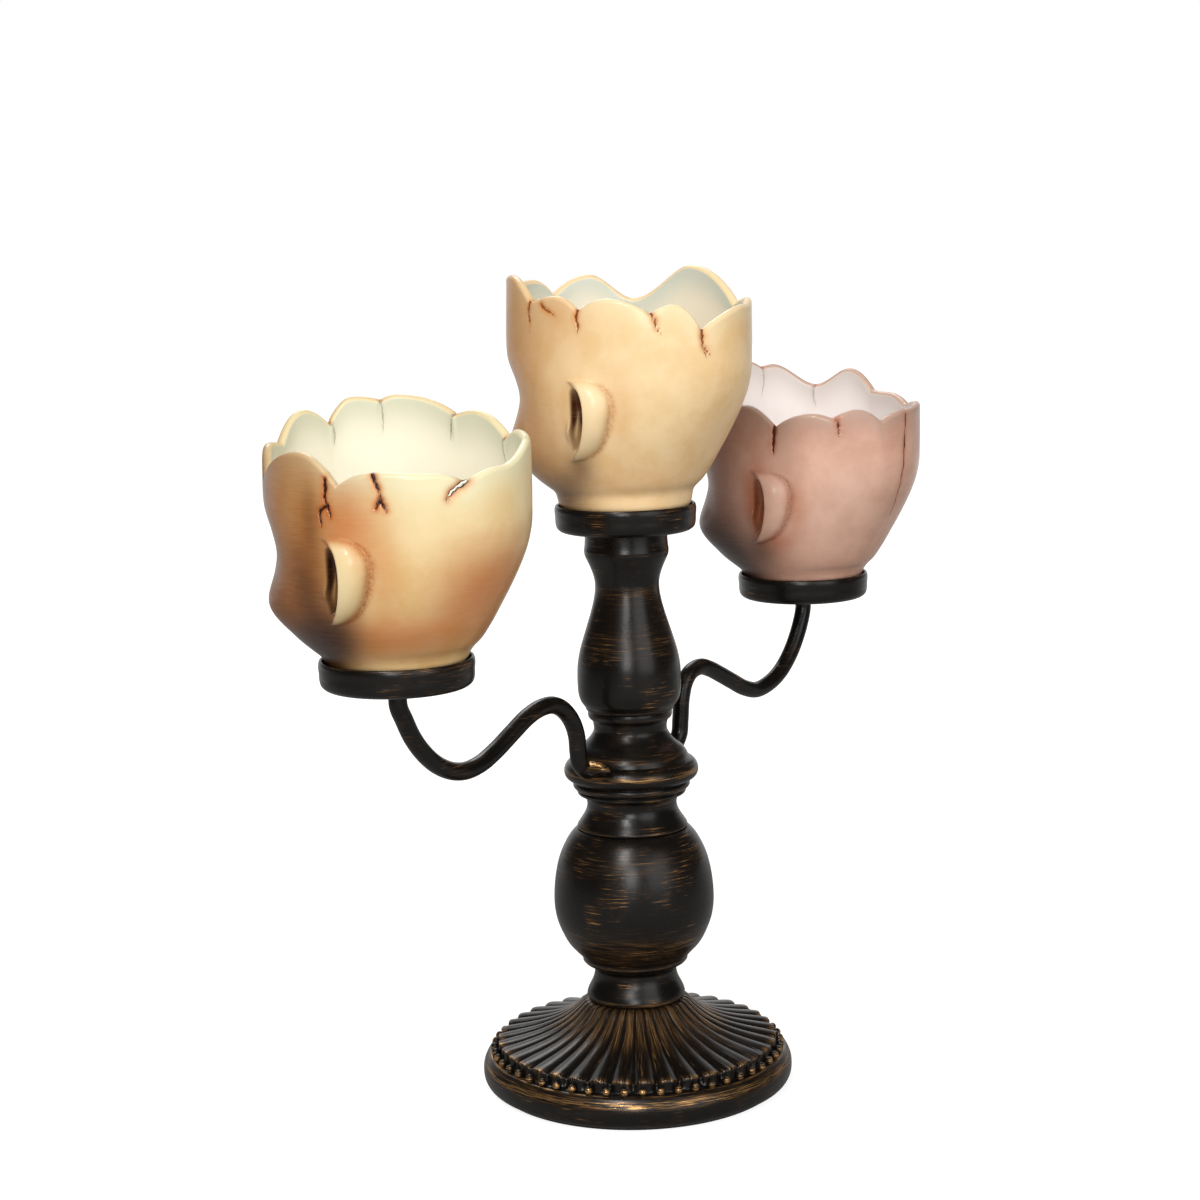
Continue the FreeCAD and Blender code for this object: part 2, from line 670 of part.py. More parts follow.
def fasteners(pan_base):
    """The rod with its nuts and washers, and each side pan's screw and insert."""
    washer = S["washer_thickness"]
    stack = washer + S["nut_height"] + S["rod_end"]
    foot_plate = S["foot_height"] - S["foot_plate"]
    top_floor = pan_base + S["pan_floor"]
    rod_foot = foot_plate - stack
    revolve(new_body("centre_rod", ZERO, rod_foot), "rod_turned", [
        (ZERO, ZERO, STRAIGHT), (S["rod_radius"], ZERO, STRAIGHT),
        (S["rod_radius"], top_floor + stack - rod_foot, STRAIGHT),
        (ZERO, top_floor + stack - rod_foot, STRAIGHT)])
    for label, base in (("foot_washer", foot_plate - washer), ("top_washer", top_floor)):
        revolve(new_body(label, ZERO, base), f"{label}_turned", [
            (ROD_BORE, ZERO, STRAIGHT), (S["washer_radius"], ZERO, STRAIGHT),
            (S["washer_radius"], washer, STRAIGHT), (ROD_BORE, washer, STRAIGHT)])
    nuts = (("foot_nut", foot_plate - washer - S["nut_height"]), ("top_nut", top_floor + washer))
    for label, base in nuts:
        hexagon = doc.addObject("Part::Prism", f"{label}_blank")
        hexagon.Polygon = 6
        S["nut_corner_radius"].bind(hexagon, "Circumradius")
        S["nut_height"].bind(hexagon, "Height")
        bore = doc.addObject("Part::Cylinder", f"{label}_bore")
        S["rod_radius"].bind(bore, "Radius")
        S["nut_height"].bind(bore, "Height")
        nut = doc.addObject("Part::Cut", label)
        nut.Base = hexagon
        nut.Tool = bore
        nut.Placement.Base = FreeCAD.Vector(0, 0, base.value)
        base.bind(nut, ".Placement.Base.z")
    pan_bottom = S["side_pan_rim_height"] - S["pan_height"]
    floor = pan_bottom + S["pan_floor"]
    screw_tip = S["screw_length"]
    for side, sign in (("left", -1), ("right", 1)):
        across = S[f"{side}_arm_reach"] * sign
        hole = S["screw_radius"] + S["screw_gap"]
        insert_foot = pan_bottom - S["insert_length"]
        shank = S["arm_bore"] - S["insert_clearance"]
        collar = S["insert_length"] - S["insert_collar"]
        revolve(new_body(f"insert_{side}", across, insert_foot), f"insert_{side}_turned", [
            (hole, ZERO, STRAIGHT), (shank, ZERO, STRAIGHT), (shank, collar, STRAIGHT),
            (S["arm_bore"], collar, STRAIGHT), (S["arm_bore"], S["insert_length"], STRAIGHT),
            (hole, S["insert_length"], STRAIGHT)])
        revolve(new_body(f"pan_screw_{side}", across, floor - screw_tip), f"pan_screw_{side}_turned", [
            (ZERO, ZERO, STRAIGHT), (S["screw_radius"], ZERO, STRAIGHT),
            (S["screw_radius"], screw_tip, STRAIGHT),
            (S["screw_head_radius"], screw_tip, share(SCREW_HEAD_BOW_SHARE)),
            (S["screw_radius"], screw_tip + S["screw_head_height"], STRAIGHT),
            (ZERO, screw_tip + S["screw_head_height"], STRAIGHT)])


def bump(angle, centre, spread, height, level, depth):
    """A smooth rise that fades with angle and height, from 0 to 1."""
    turned = (angle - centre + 180.0) % 360.0 - 180.0
    return math.exp(-(turned / spread) ** 2 - ((height - level) / depth) ** 2)


def head_point(level, step, inset, dressed):
    """A point of the head's level: quarter ellipses, with cheeks and chin when dressed.

    Angles run from +Y, where the face looks, towards -X.
    """
    height, width, front, back = level
    angle = 360.0 * step / LEVEL_POINTS
    turn = math.radians(angle)
    half = S["head_half_width"].value * width
    length = S["head_front"].value * front if math.cos(turn) > 0 else S["head_back"].value * back
    reach = half * length / math.hypot(half * math.cos(turn), length * math.sin(turn)) - inset
    if dressed:
        for side in (CHEEK_ANGLE, -CHEEK_ANGLE):
            reach += S["cheek_bulge"].value * bump(
                angle, side, CHEEK_SPREAD, height, *CHEEK_SHARES)
        reach += S["chin_bulge"].value * bump(angle, 0.0, CHIN_SPREAD, height, *CHIN_SHARES)
    return FreeCAD.Vector(
        -reach * math.sin(turn), reach * math.cos(turn), S["head_crown"].value * height)


def level_wire(level, inset=0.0, dressed=True):
    """One closed smooth section of the head."""
    curve = Part.BSplineCurve()
    curve.interpolate(
        [head_point(level, step, inset, dressed) for step in range(LEVEL_POINTS)],
        PeriodicFlag=True)
    return Part.Wire(curve.toShape())


def round_wire(radius, height):
    """A round section, as a smooth curve through the same number of points."""
    curve = Part.BSplineCurve()
    points = []
    for step in range(LEVEL_POINTS):
        turn = 2 * math.pi * step / LEVEL_POINTS
        points.append(FreeCAD.Vector(-radius * math.sin(turn), radius * math.cos(turn), height))
    curve.interpolate(points, PeriodicFlag=True)
    return Part.Wire(curve.toShape())


def nose_form():
    """A blunt nose: a ball pressed flatter or drawn out along the line that it points along."""
    radius = S["nose_radius"].value
    stretch = FreeCAD.Matrix()
    stretch.scale(1, S["nose_half_length"].value / radius, 1)
    form = Part.makeSphere(radius).transformGeometry(stretch)
    level = S["head_crown"].value * NOSE_HEIGHT_SHARE
    form.translate(FreeCAD.Vector(0, S["head_front"].value * NOSE_REACH_SHARE, level))
    return form


def oval_block(ovals):
    """A block through two upright ovals of the head's side.

    Each oval is (across, half height, half depth, back) about the ear's own height.
    """
    wires = []
    for across, half_height, half_depth, back in ovals:
        oval = Part.Ellipse(FreeCAD.Vector(), half_height, half_depth).toShape()
        oval.Placement = FreeCAD.Placement(
            FreeCAD.Vector(across, -back, S["ear_height"].value),
            FreeCAD.Rotation(FreeCAD.Vector(0, 1, 0), 90))
        wires.append(Part.Wire(oval))
    return Part.makeLoft(wires, True, True)


def ear(sign):
    """An ear's outer form, which slopes back to the skin, and the hollow before its fold."""
    half_height, half_depth = S["ear_half_height"].value, S["ear_half_depth"].value
    root = S["head_half_width"].value - S["ear_root_depth"].value
    tip = S["head_half_width"].value + S["ear_stand"].value
    back, taper, fold = (S[f"ear_{name}"].value for name in ("back", "taper", "fold"))
    form = oval_block((
        (sign * root, half_height, half_depth, back),
        (sign * tip, half_height - taper / 2, half_depth - taper, back - S["ear_lean"].value)))
    hollow_back = back - S["ear_hollow_forward"].value
    hollow_height = half_height - taper / 2 - fold
    hollow_depth = S["ear_hollow_half_depth"].value
    floor = tip - S["ear_hollow_depth"].value
    hollow = oval_block((
        (sign * floor, hollow_height - fold, hollow_depth - fold / 2, hollow_back),
        (sign * (tip + fold), hollow_height, hollow_depth, hollow_back)))
    return form, hollow


def rim_cutters(rim_shares):
    """One block over each lobe of the broken rim, its underside swept radially by an arc."""
    near = S["neck_recess_radius"].value
    far = S["head_back"].value + 2 * S["cut_overrun"].value
    lift = FreeCAD.Vector(0, 0, S["head_crown"].value)
    blocks = []
    for index, (start, notch, peak) in enumerate(rim_shares):
        end, next_notch, _ = rim_shares[(index + 1) % len(rim_shares)]
        end = end if end > start else end + 360.0
        marks = ((start, notch), ((start + end) / 2, peak), (end, next_notch))
        edges = []
        for reach in (near, far):
            points = []
            for angle, height in marks:
                turn = math.radians(angle)
                up = S["head_crown"].value * height
                points.append(FreeCAD.Vector(reach * math.cos(turn), reach * math.sin(turn), up))
            edges.append(Part.Arc(*points).toShape())
        blocks.append(Part.makeRuledSurface(*edges).extrude(lift))
    return blocks


def head(label, across, pan_rim, turn, rim_shares, rise=0.0):
    """One moulded head: outer skin, nose and ears, cavity, neck recess and broken rim.

    Heights are counted from the top of the neck, and the rise makes the neck longer.
    """
    neck = S["pan_radius"].value - S["pan_wall"].value - S["neck_fit_gap"].value
    neck_length = S["neck_height"].value + rise
    foot_point = FreeCAD.Vector(0, 0, -neck_length)
    over = S["cut_overrun"].value
    last = LEVEL_SHARES[-1]
    top_level, over_level = (
        (last[0] + lift / S["head_crown"].value, *last[1:])
        for lift in (S["head_blank"].value, S["head_blank"].value + over))
    levels = [*LEVEL_SHARES, top_level]
    skin = Part.makeLoft(
        [round_wire(neck, 0)] + [level_wire(level) for level in levels], True, True)
    step = S["neck_step"].value
    stub = Part.makeCylinder(neck - step, neck_length + step, foot_point)
    ears = [ear(sign) for sign in (-1, 1)]
    skin = skin.fuse([stub, nose_form()] + [form for form, _ in ears])
    wall = S["head_wall"].value
    cavity_level = S["head_floor"].value + wall - S["neck_height"].value
    cavity_foot = round_wire(neck * CAVITY_FOOT_SHARE, cavity_level)
    cavity = Part.makeLoft(
        [cavity_foot] + [level_wire(level, wall, False) for level in levels[1:-1:2] + [over_level]],
        True, True)
    recess = Part.makeCylinder(
        S["neck_recess_radius"].value, S["neck_recess_depth"].value + rise, foot_point)
    shell = skin.cut([cavity, recess] + [hollow for _, hollow in ears])
    shell = shell.cut(rim_cutters(rim_shares))
    shell = max(shell.Solids, key=lambda solid: solid.Volume)
    feature = doc.addObject("Part::Feature", label)
    feature.Shape = shell
    floor = pan_rim - S["pan_height"] + S["pan_floor"]
    feature.Placement = FreeCAD.Placement(
        FreeCAD.Vector(across.value, 0, floor.value + neck_length),
        FreeCAD.Rotation(FreeCAD.Vector(0, 0, 1), turn))
    return feature


felt_ring()
foot()
ring_blank, top_pan_base = stem()
left_reach = S["left_arm_reach"] * -1
side_pan_base = S["side_pan_rim_height"] - S["pan_height"]
screw_hole = S["screw_radius"] + S["screw_gap"]
pan("pan_centre", ZERO, top_pan_base, ROD_BORE)
pan("pan_left", left_reach, side_pan_base, screw_hole)
pan("pan_right", S["right_arm_reach"], side_pan_base, screw_hole)
arm_envelopes = []
for arm_side, arm_turn in (("left", 180), ("right", 0)):
    arm(f"arm_{arm_side}", arm_side, (S["arm_radius"], S["arm_bore"]), arm_turn)
    arm_envelopes.append(arm(f"arm_{arm_side}_envelope", arm_side, (S["arm_radius"],), arm_turn))
seated_ring(ring_blank, arm_envelopes)
fasteners(top_pan_base)
head("head_left", left_reach, S["side_pan_rim_height"], S["left_head_turn"].value, LEFT_RIM_SHARES)
head("head_centre", ZERO, S["centre_pan_rim_height"], 0, CENTRE_RIM_SHARES,
     S["centre_neck_rise"].value)
head("head_right", S["right_arm_reach"], S["side_pan_rim_height"],
     S["right_head_turn"].value, RIGHT_RIM_SHARES)
doc.recompute()

NODES = (
    "foot_felt", "foot_dome", "foot_collar", "globe", "globe_neck", "arm_ring", "vase_collar",
    "vase", "top_collar", "pan_centre", "pan_left", "pan_right", "arm_left", "arm_right",
    "insert_left", "insert_right", "pan_screw_left", "pan_screw_right", "centre_rod",
    "foot_washer", "foot_nut", "top_washer", "top_nut", "head_left", "head_centre", "head_right",
)

for item in doc.Objects:
    if {"Invalid", "Error"} & set(item.State):
        raise RuntimeError(f"{item.Label} failed: {item.State}")
os.makedirs("parts", exist_ok=True)
for node in NODES:
    piece = doc.getObjectsByLabel(node)[0]
    shape = piece.Shape
    if shape.isNull() or not shape.isValid():
        raise RuntimeError(f"{node} has no valid shape")
    shape.exportStep(f"parts/{node}.step")
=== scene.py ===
"""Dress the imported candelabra: rubbed bronze stem, fluted foot, bent arms and doll heads.

All new surfaces are grids of points worked out with numpy. A grid's rows run along a
profile and its columns run round the piece. Lengths are written in millimetres and turned
into metres where a mesh is made.
"""
from __future__ import annotations

import json
import logging
import math
from dataclasses import dataclass, field
from enum import Enum, IntEnum
from typing import Any

import bpy
import numpy as np
from mathutils import Matrix, Vector

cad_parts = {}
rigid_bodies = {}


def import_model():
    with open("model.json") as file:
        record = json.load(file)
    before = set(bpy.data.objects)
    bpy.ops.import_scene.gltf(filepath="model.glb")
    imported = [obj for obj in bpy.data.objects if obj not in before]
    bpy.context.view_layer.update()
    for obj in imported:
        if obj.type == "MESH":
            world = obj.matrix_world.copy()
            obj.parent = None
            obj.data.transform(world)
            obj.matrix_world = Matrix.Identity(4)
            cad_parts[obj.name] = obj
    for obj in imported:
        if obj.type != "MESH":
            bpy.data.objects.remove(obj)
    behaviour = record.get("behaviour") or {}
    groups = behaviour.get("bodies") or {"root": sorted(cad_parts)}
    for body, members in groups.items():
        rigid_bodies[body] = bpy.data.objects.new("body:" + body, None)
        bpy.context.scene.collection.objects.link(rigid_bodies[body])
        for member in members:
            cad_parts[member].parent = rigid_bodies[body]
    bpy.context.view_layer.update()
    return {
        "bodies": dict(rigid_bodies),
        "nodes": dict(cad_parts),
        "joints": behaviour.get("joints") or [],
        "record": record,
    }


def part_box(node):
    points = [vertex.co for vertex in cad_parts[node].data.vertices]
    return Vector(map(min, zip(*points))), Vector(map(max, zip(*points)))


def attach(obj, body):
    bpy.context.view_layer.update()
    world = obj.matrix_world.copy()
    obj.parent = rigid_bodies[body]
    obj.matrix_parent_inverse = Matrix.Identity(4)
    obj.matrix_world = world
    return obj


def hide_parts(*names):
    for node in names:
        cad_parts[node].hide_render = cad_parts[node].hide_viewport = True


MM = 0.001
STAND = "stand"
LOG = logging.getLogger("candelabra")
Array = np.ndarray
ROD_HOLE = 4.25
SCREW_HOLE = 2.15
WHITE = (1.0, 1.0, 1.0, 1.0)

# Settings that several nodes share.
SMOOTH = {"interpolation_type": "SMOOTHSTEP"}
TIMES = {"operation": "MULTIPLY"}
TIMES_CLAMPED = {"operation": "MULTIPLY", "use_clamp": True}
COLOURS = {"data_type": "RGBA"}
NUMBERS = {"data_type": "FLOAT"}


class Side(Enum):
    """The side of the stem that an arm or a head stands on."""

    LEFT = "left"
    CENTRE = "centre"
    RIGHT = "right"


def linear(code: str) -> tuple[float, float, float, float]:
    """Turn an sRGB hex colour into linear light.

    The standard curve is a short straight part near black and a power of 2.4 above it.

    Args:
        code: colour as "#rrggbb".

    Returns:
        Red, green, blue and an alpha of one.
    """
    parts = [int(code[i:i + 2], 16) / 255 for i in (1, 3, 5)]
    light = [p / 12.92 if p <= 0.04045 else ((p + 0.055) / 1.055) ** 2.4 for p in parts]
    return light[0], light[1], light[2], 1.0


def ease(low: float | Array, high: float | Array, value: Array) -> Array:
    """Rise smoothly from 0 at low to 1 at high: 3t squared minus 2t cubed.

    Args:
        low: value where the rise starts.
        high: value where it ends; it may be under low.
        value: values to ease.

    Returns:
        Eased values from 0 to 1.
    """
    t = np.clip((value - low) / (high - low), 0.0, 1.0)
    return t * t * (3 - 2 * t)


def bell(distance: Array, width: float) -> Array:
    """Return a bell curve: e to the minus of distance over width, squared."""
    return np.exp(-(distance / width) ** 2)


def sprayed(amount: Array) -> Array:
    """Turn sprayed paint into cover: one minus e to the minus of the amount."""
    return 1 - np.exp(-1.15 * amount)


def from_face(angle: Array) -> Array:
    """Return how far an angle lies from the face on either side, from 0 to 180 degrees."""
    return np.abs(np.mod(angle + 180, 360) - 180)


def ball_angles(rows: int, columns: int, gap: float) -> tuple[Array, Array]:
    """List the angles of a ball's rings, up from pole to pole and round it.

    Args:
        rows: rings from pole to pole.
        columns: points in each ring.
        gap: angle that the first and last rings keep from the poles, in radians.

    Returns:
        The angles up the ball as a column, and those round it as a row.
    """
    limit = math.pi / 2 - gap
    polar = np.clip(np.linspace(-math.pi / 2, math.pi / 2, rows), -limit, limit)
    return polar[:, None], np.linspace(0, 2 * math.pi, columns, endpoint=False)[None, :]


def add_object(name: str, data: Any) -> bpy.types.Object:
    """Add an object with its mesh, lamp or camera data to the scene.

    Args:
        name: the object's name.
        data: what it shows.

    Returns:
        The new object.
    """
    thing = bpy.data.objects.new(name, data)
    bpy.context.scene.collection.objects.link(thing)
    return thing


def smooth_line(points: Array, places: Array) -> Array:
    """Run a smooth line through points: cubic spans whose slopes join each neighbour pair.

    Args:
        points: rows whose first number rises, such as (height, radius).
        places: values of the first number to read the line at.

    Returns:
        One row for each place, without the first number.
    """
    x, y = points[:, 0], points[:, 1:]
    slope = np.gradient(y, x, axis=0)
    index = np.clip(np.searchsorted(x, places) - 1, 0, len(x) - 2)
    step = (x[index + 1] - x[index])[..., None]
    t = np.clip((places - x[index])[..., None] / step, 0.0, 1.0)
    start, end = y[index], y[index + 1]
    leaving, arriving = slope[index] * step, slope[index + 1] * step
    return ((2 * t**3 - 3 * t**2 + 1) * start + (t**3 - 2 * t**2 + t) * leaving
            + (3 * t**2 - 2 * t**3) * end + (t**3 - t**2) * arriving)


def smooth_path(points: Array, count: int) -> Array:
    """Run a smooth path through points in space, read at even lengths.

    Args:
        points: the points that the path passes, in millimetres.
        count: how many points to return.

    Returns:
        Points evenly spaced along the path.
    """
    chord = np.r_[0, np.cumsum(np.linalg.norm(np.diff(points, axis=0), axis=1))]
    dense = smooth_line(np.c_[chord, points], np.linspace(0, chord[-1], 12 * count))
    length = np.r_[0, np.cumsum(np.linalg.norm(np.diff(dense, axis=0), axis=1))]
    even = np.linspace(0, length[-1], count)
    return np.stack([np.interp(even, length, dense[:, i]) for i in range(dense.shape[1])], -1)


def grid_faces(rows: int, columns: int, closed_rows: bool = False) -> Array:
    """List the faces of a grid whose columns close on themselves.

    Args:
        rows: rows of points.
        columns: points in a row.
        closed_rows: whether the last row joins the first.

    Returns:
        Four point numbers for each face, turned outwards for rows that run up and columns
        that run counterclockwise.
    """
    row = np.arange(rows if closed_rows else rows - 1)[:, None]
    column = np.arange(columns)[None, :]
    above, beside = (row + 1) % rows, (column + 1) % columns
    corners = (row * columns + column, row * columns + beside,
               above * columns + beside, above * columns + column)
    return np.stack(np.broadcast_arrays(*corners), -1).reshape(-1, 4)


@dataclass
class Surface:
    """Points in millimetres, their faces, and values that the finish reads point by point."""

    points: Array
    faces: list[Any]
    marks: dict[str, Array] = field(default_factory=dict)

    @classmethod
    def of_grid(cls, grid: Array, marks: dict[str, Array] | None = None,
                closed_rows: bool = False, capped: bool = False) -> Surface:
        """Make a surface from a grid of points.

        Args:
            grid: points as rows, columns and three coordinates.
            marks: values for the finish, as rows and columns.
            closed_rows: whether the last row joins the first.
            capped: whether the first and last rows are each closed on a middle point.

        Returns:
            The surface.
        """
        rows, columns = grid.shape[:2]
        points = grid.reshape(-1, 3)
        faces = grid_faces(rows, columns, closed_rows).tolist()
        flat = {name: np.broadcast_to(value, (rows, columns)).ravel()
                for name, value in (marks or {}).items()}
        if capped:
            count, column = rows * columns, np.arange(columns)
            beside, last = (column + 1) % columns, count - columns
            faces += np.stack([beside, column, 0 * column + count], -1).tolist()
            faces += np.stack([last + column, last + beside, 0 * column + count + 1], -1).tolist()
            points = np.concatenate([points, grid[[0, -1]].mean(axis=1)])
            flat = {name: np.r_[value, value[0], value[-1]] for name, value in flat.items()}
        return cls(points, faces, flat)

    def joined(self, *others: Surface) -> Surface:
        """Join this surface and others.

        Args:
            others: the surfaces to add; a mark that one lacks is zero there.

        Returns:
            All of them as one surface.
        """
        points, faces = [self.points], list(self.faces)
        marks = {name: [value] for name, value in self.marks.items()}
        count = len(self.points)
        for other in others:
            points.append(other.points)
            faces += [[i + count for i in face] for face in other.faces]
            count += len(other.points)
            for name, values in marks.items():
                values.append(other.marks.get(name, np.zeros(len(other.points))))
        return Surface(np.concatenate(points), faces,
                       {name: np.concatenate(values) for name, values in marks.items()})

    def to_object(self, name: str, body: str, slot: str, nodes: tuple[str, ...],
                  material: bpy.types.Material) -> bpy.types.Object:
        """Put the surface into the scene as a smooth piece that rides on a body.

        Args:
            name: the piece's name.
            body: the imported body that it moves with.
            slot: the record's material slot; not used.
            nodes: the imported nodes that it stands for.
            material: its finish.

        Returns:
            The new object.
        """
        mesh = bpy.data.meshes.new(name)
        mesh.from_pydata((self.points * MM).tolist(), [], self.faces)
        for mark, values in self.marks.items():
            layer = mesh.attributes.new(mark, "FLOAT", "POINT")
            layer.data.foreach_set("value", np.ascontiguousarray(values, dtype=np.float32))
        mesh.shade_smooth()
        mesh.materials.append(material)
        mesh.update()
        piece = add_object(name, mesh)
        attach(piece, body)
        if nodes:
            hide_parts(*nodes)
        LOG.info("%s: %d faces on %s", name, len(self.faces), body)
        return piece


def turn_profile(profile: Array, columns: int, centre: tuple[float, float] = (0.0, 0.0)) -> Array:
    """Turn a profile about a vertical axis.

    Each point (radius, height) of the profile becomes a ring of that radius at that height.

    Args:
        profile: rows of radius and height.
        columns: points in each ring.
        centre: the axis' place in X and Y.

    Returns:
        A grid of points.
    """
    turn = np.linspace(0, 2 * math.pi, columns, endpoint=False)
    radius, height = profile[:, :1], profile[:, 1:2]
    return np.stack([centre[0] + radius * np.cos(turn), centre[1] + radius * np.sin(turn),
                     height + 0 * turn], -1)


def outline(points: tuple[tuple[float, ...], ...], spacing: float) -> Array:
    """Fill in a profile between its points.

    Points are (radius, height) or (radius, height, 1) for a corner. Smooth spans pass
    through the points between two corners, and a close point beside each corner keeps
    its edge crisp.

    Args:
        points: the profile's points in millimetres.
        spacing: the distance between the points returned.

    Returns:
        Rows of radius and height.
    """
    places = np.array([p[:2] for p in points], float)
    corners = [0] + [i for i, p in enumerate(points[1:-1], 1) if len(p) > 2] + [len(points) - 1]
    runs = []
    for first, last in zip(corners, corners[1:]):
        run = places[first:last + 1]
        length = np.linalg.norm(np.diff(run, axis=0), axis=1).sum()
        count = max(2, int(length / spacing) + 1)
        smooth = smooth_path(run, count)
        near = min(0.4, 0.05 * (count - 1) / length)
        held = (smooth[:1] + near * (smooth[1:2] - smooth[:1]),
                smooth[-1:] + near * (smooth[-2:-1] - smooth[-1:]))
        runs.append(np.concatenate([smooth[:1], held[0], smooth[1:-1], held[1]]))
    return np.concatenate([*runs, places[-1:]])


def sweep(path: Array, radii: Array, columns: int) -> Array:
    """Carry a ring of points along a path that stays in one upright plane.

    Each ring lies across the path: its first axis is the plane's level normal, +Y, and its
    second is square to that and to the path.

    Args:
        path: points in millimetres, on one plane of constant Y.
        radii: the ring's radius at each point.
        columns: points in each ring.

    Returns:
        A grid of points.
    """
    along = np.gradient(path, axis=0)
    along /= np.linalg.norm(along, axis=1, keepdims=True)
    level = np.broadcast_to(np.array([0.0, 1.0, 0.0]), along.shape)
    square = np.cross(along, level)
    turn = np.linspace(0, 2 * math.pi, columns, endpoint=False)[None, :, None]
    ring = level[:, None] * np.cos(turn) + square[:, None] * np.sin(turn)
    return path[:, None] + radii[:, None, None] * ring


def add_node(tree: bpy.types.NodeTree, kind: str, settings: dict[str, Any] | None = None,
             inputs: dict[str | int, Any] | None = None) -> bpy.types.Node:
    """Add a node with its settings, values and links.

    Args:
        tree: the material's or world's node tree.
        kind: the node's type without its common beginning.
        settings: properties to set.
        inputs: a value or an output socket for each named or numbered input.

    Returns:
        The new node.
    """
    node = tree.nodes.new(f"ShaderNode{kind}")
    for name, value in (settings or {}).items():
        setattr(node, name, value)
    for socket, value in (inputs or {}).items():
        if isinstance(value, bpy.types.NodeSocket):
            tree.links.new(value, node.inputs[socket])
        else:
            node.inputs[socket].default_value = value
    return node


def new_material(name: str) -> tuple[bpy.types.Material, bpy.types.NodeTree]:
    """Start a material with an empty node tree.

    Args:
        name: the material's name.

    Returns:
        The material and its tree.
    """
    material = bpy.data.materials.new(name)
    material.use_nodes = True
    material.node_tree.nodes.clear()
    return material, material.node_tree


class BrushWay(Enum):
    """The way that the dry brush was drawn over a piece."""

    LEVEL = "level"
    RADIAL = "radial"


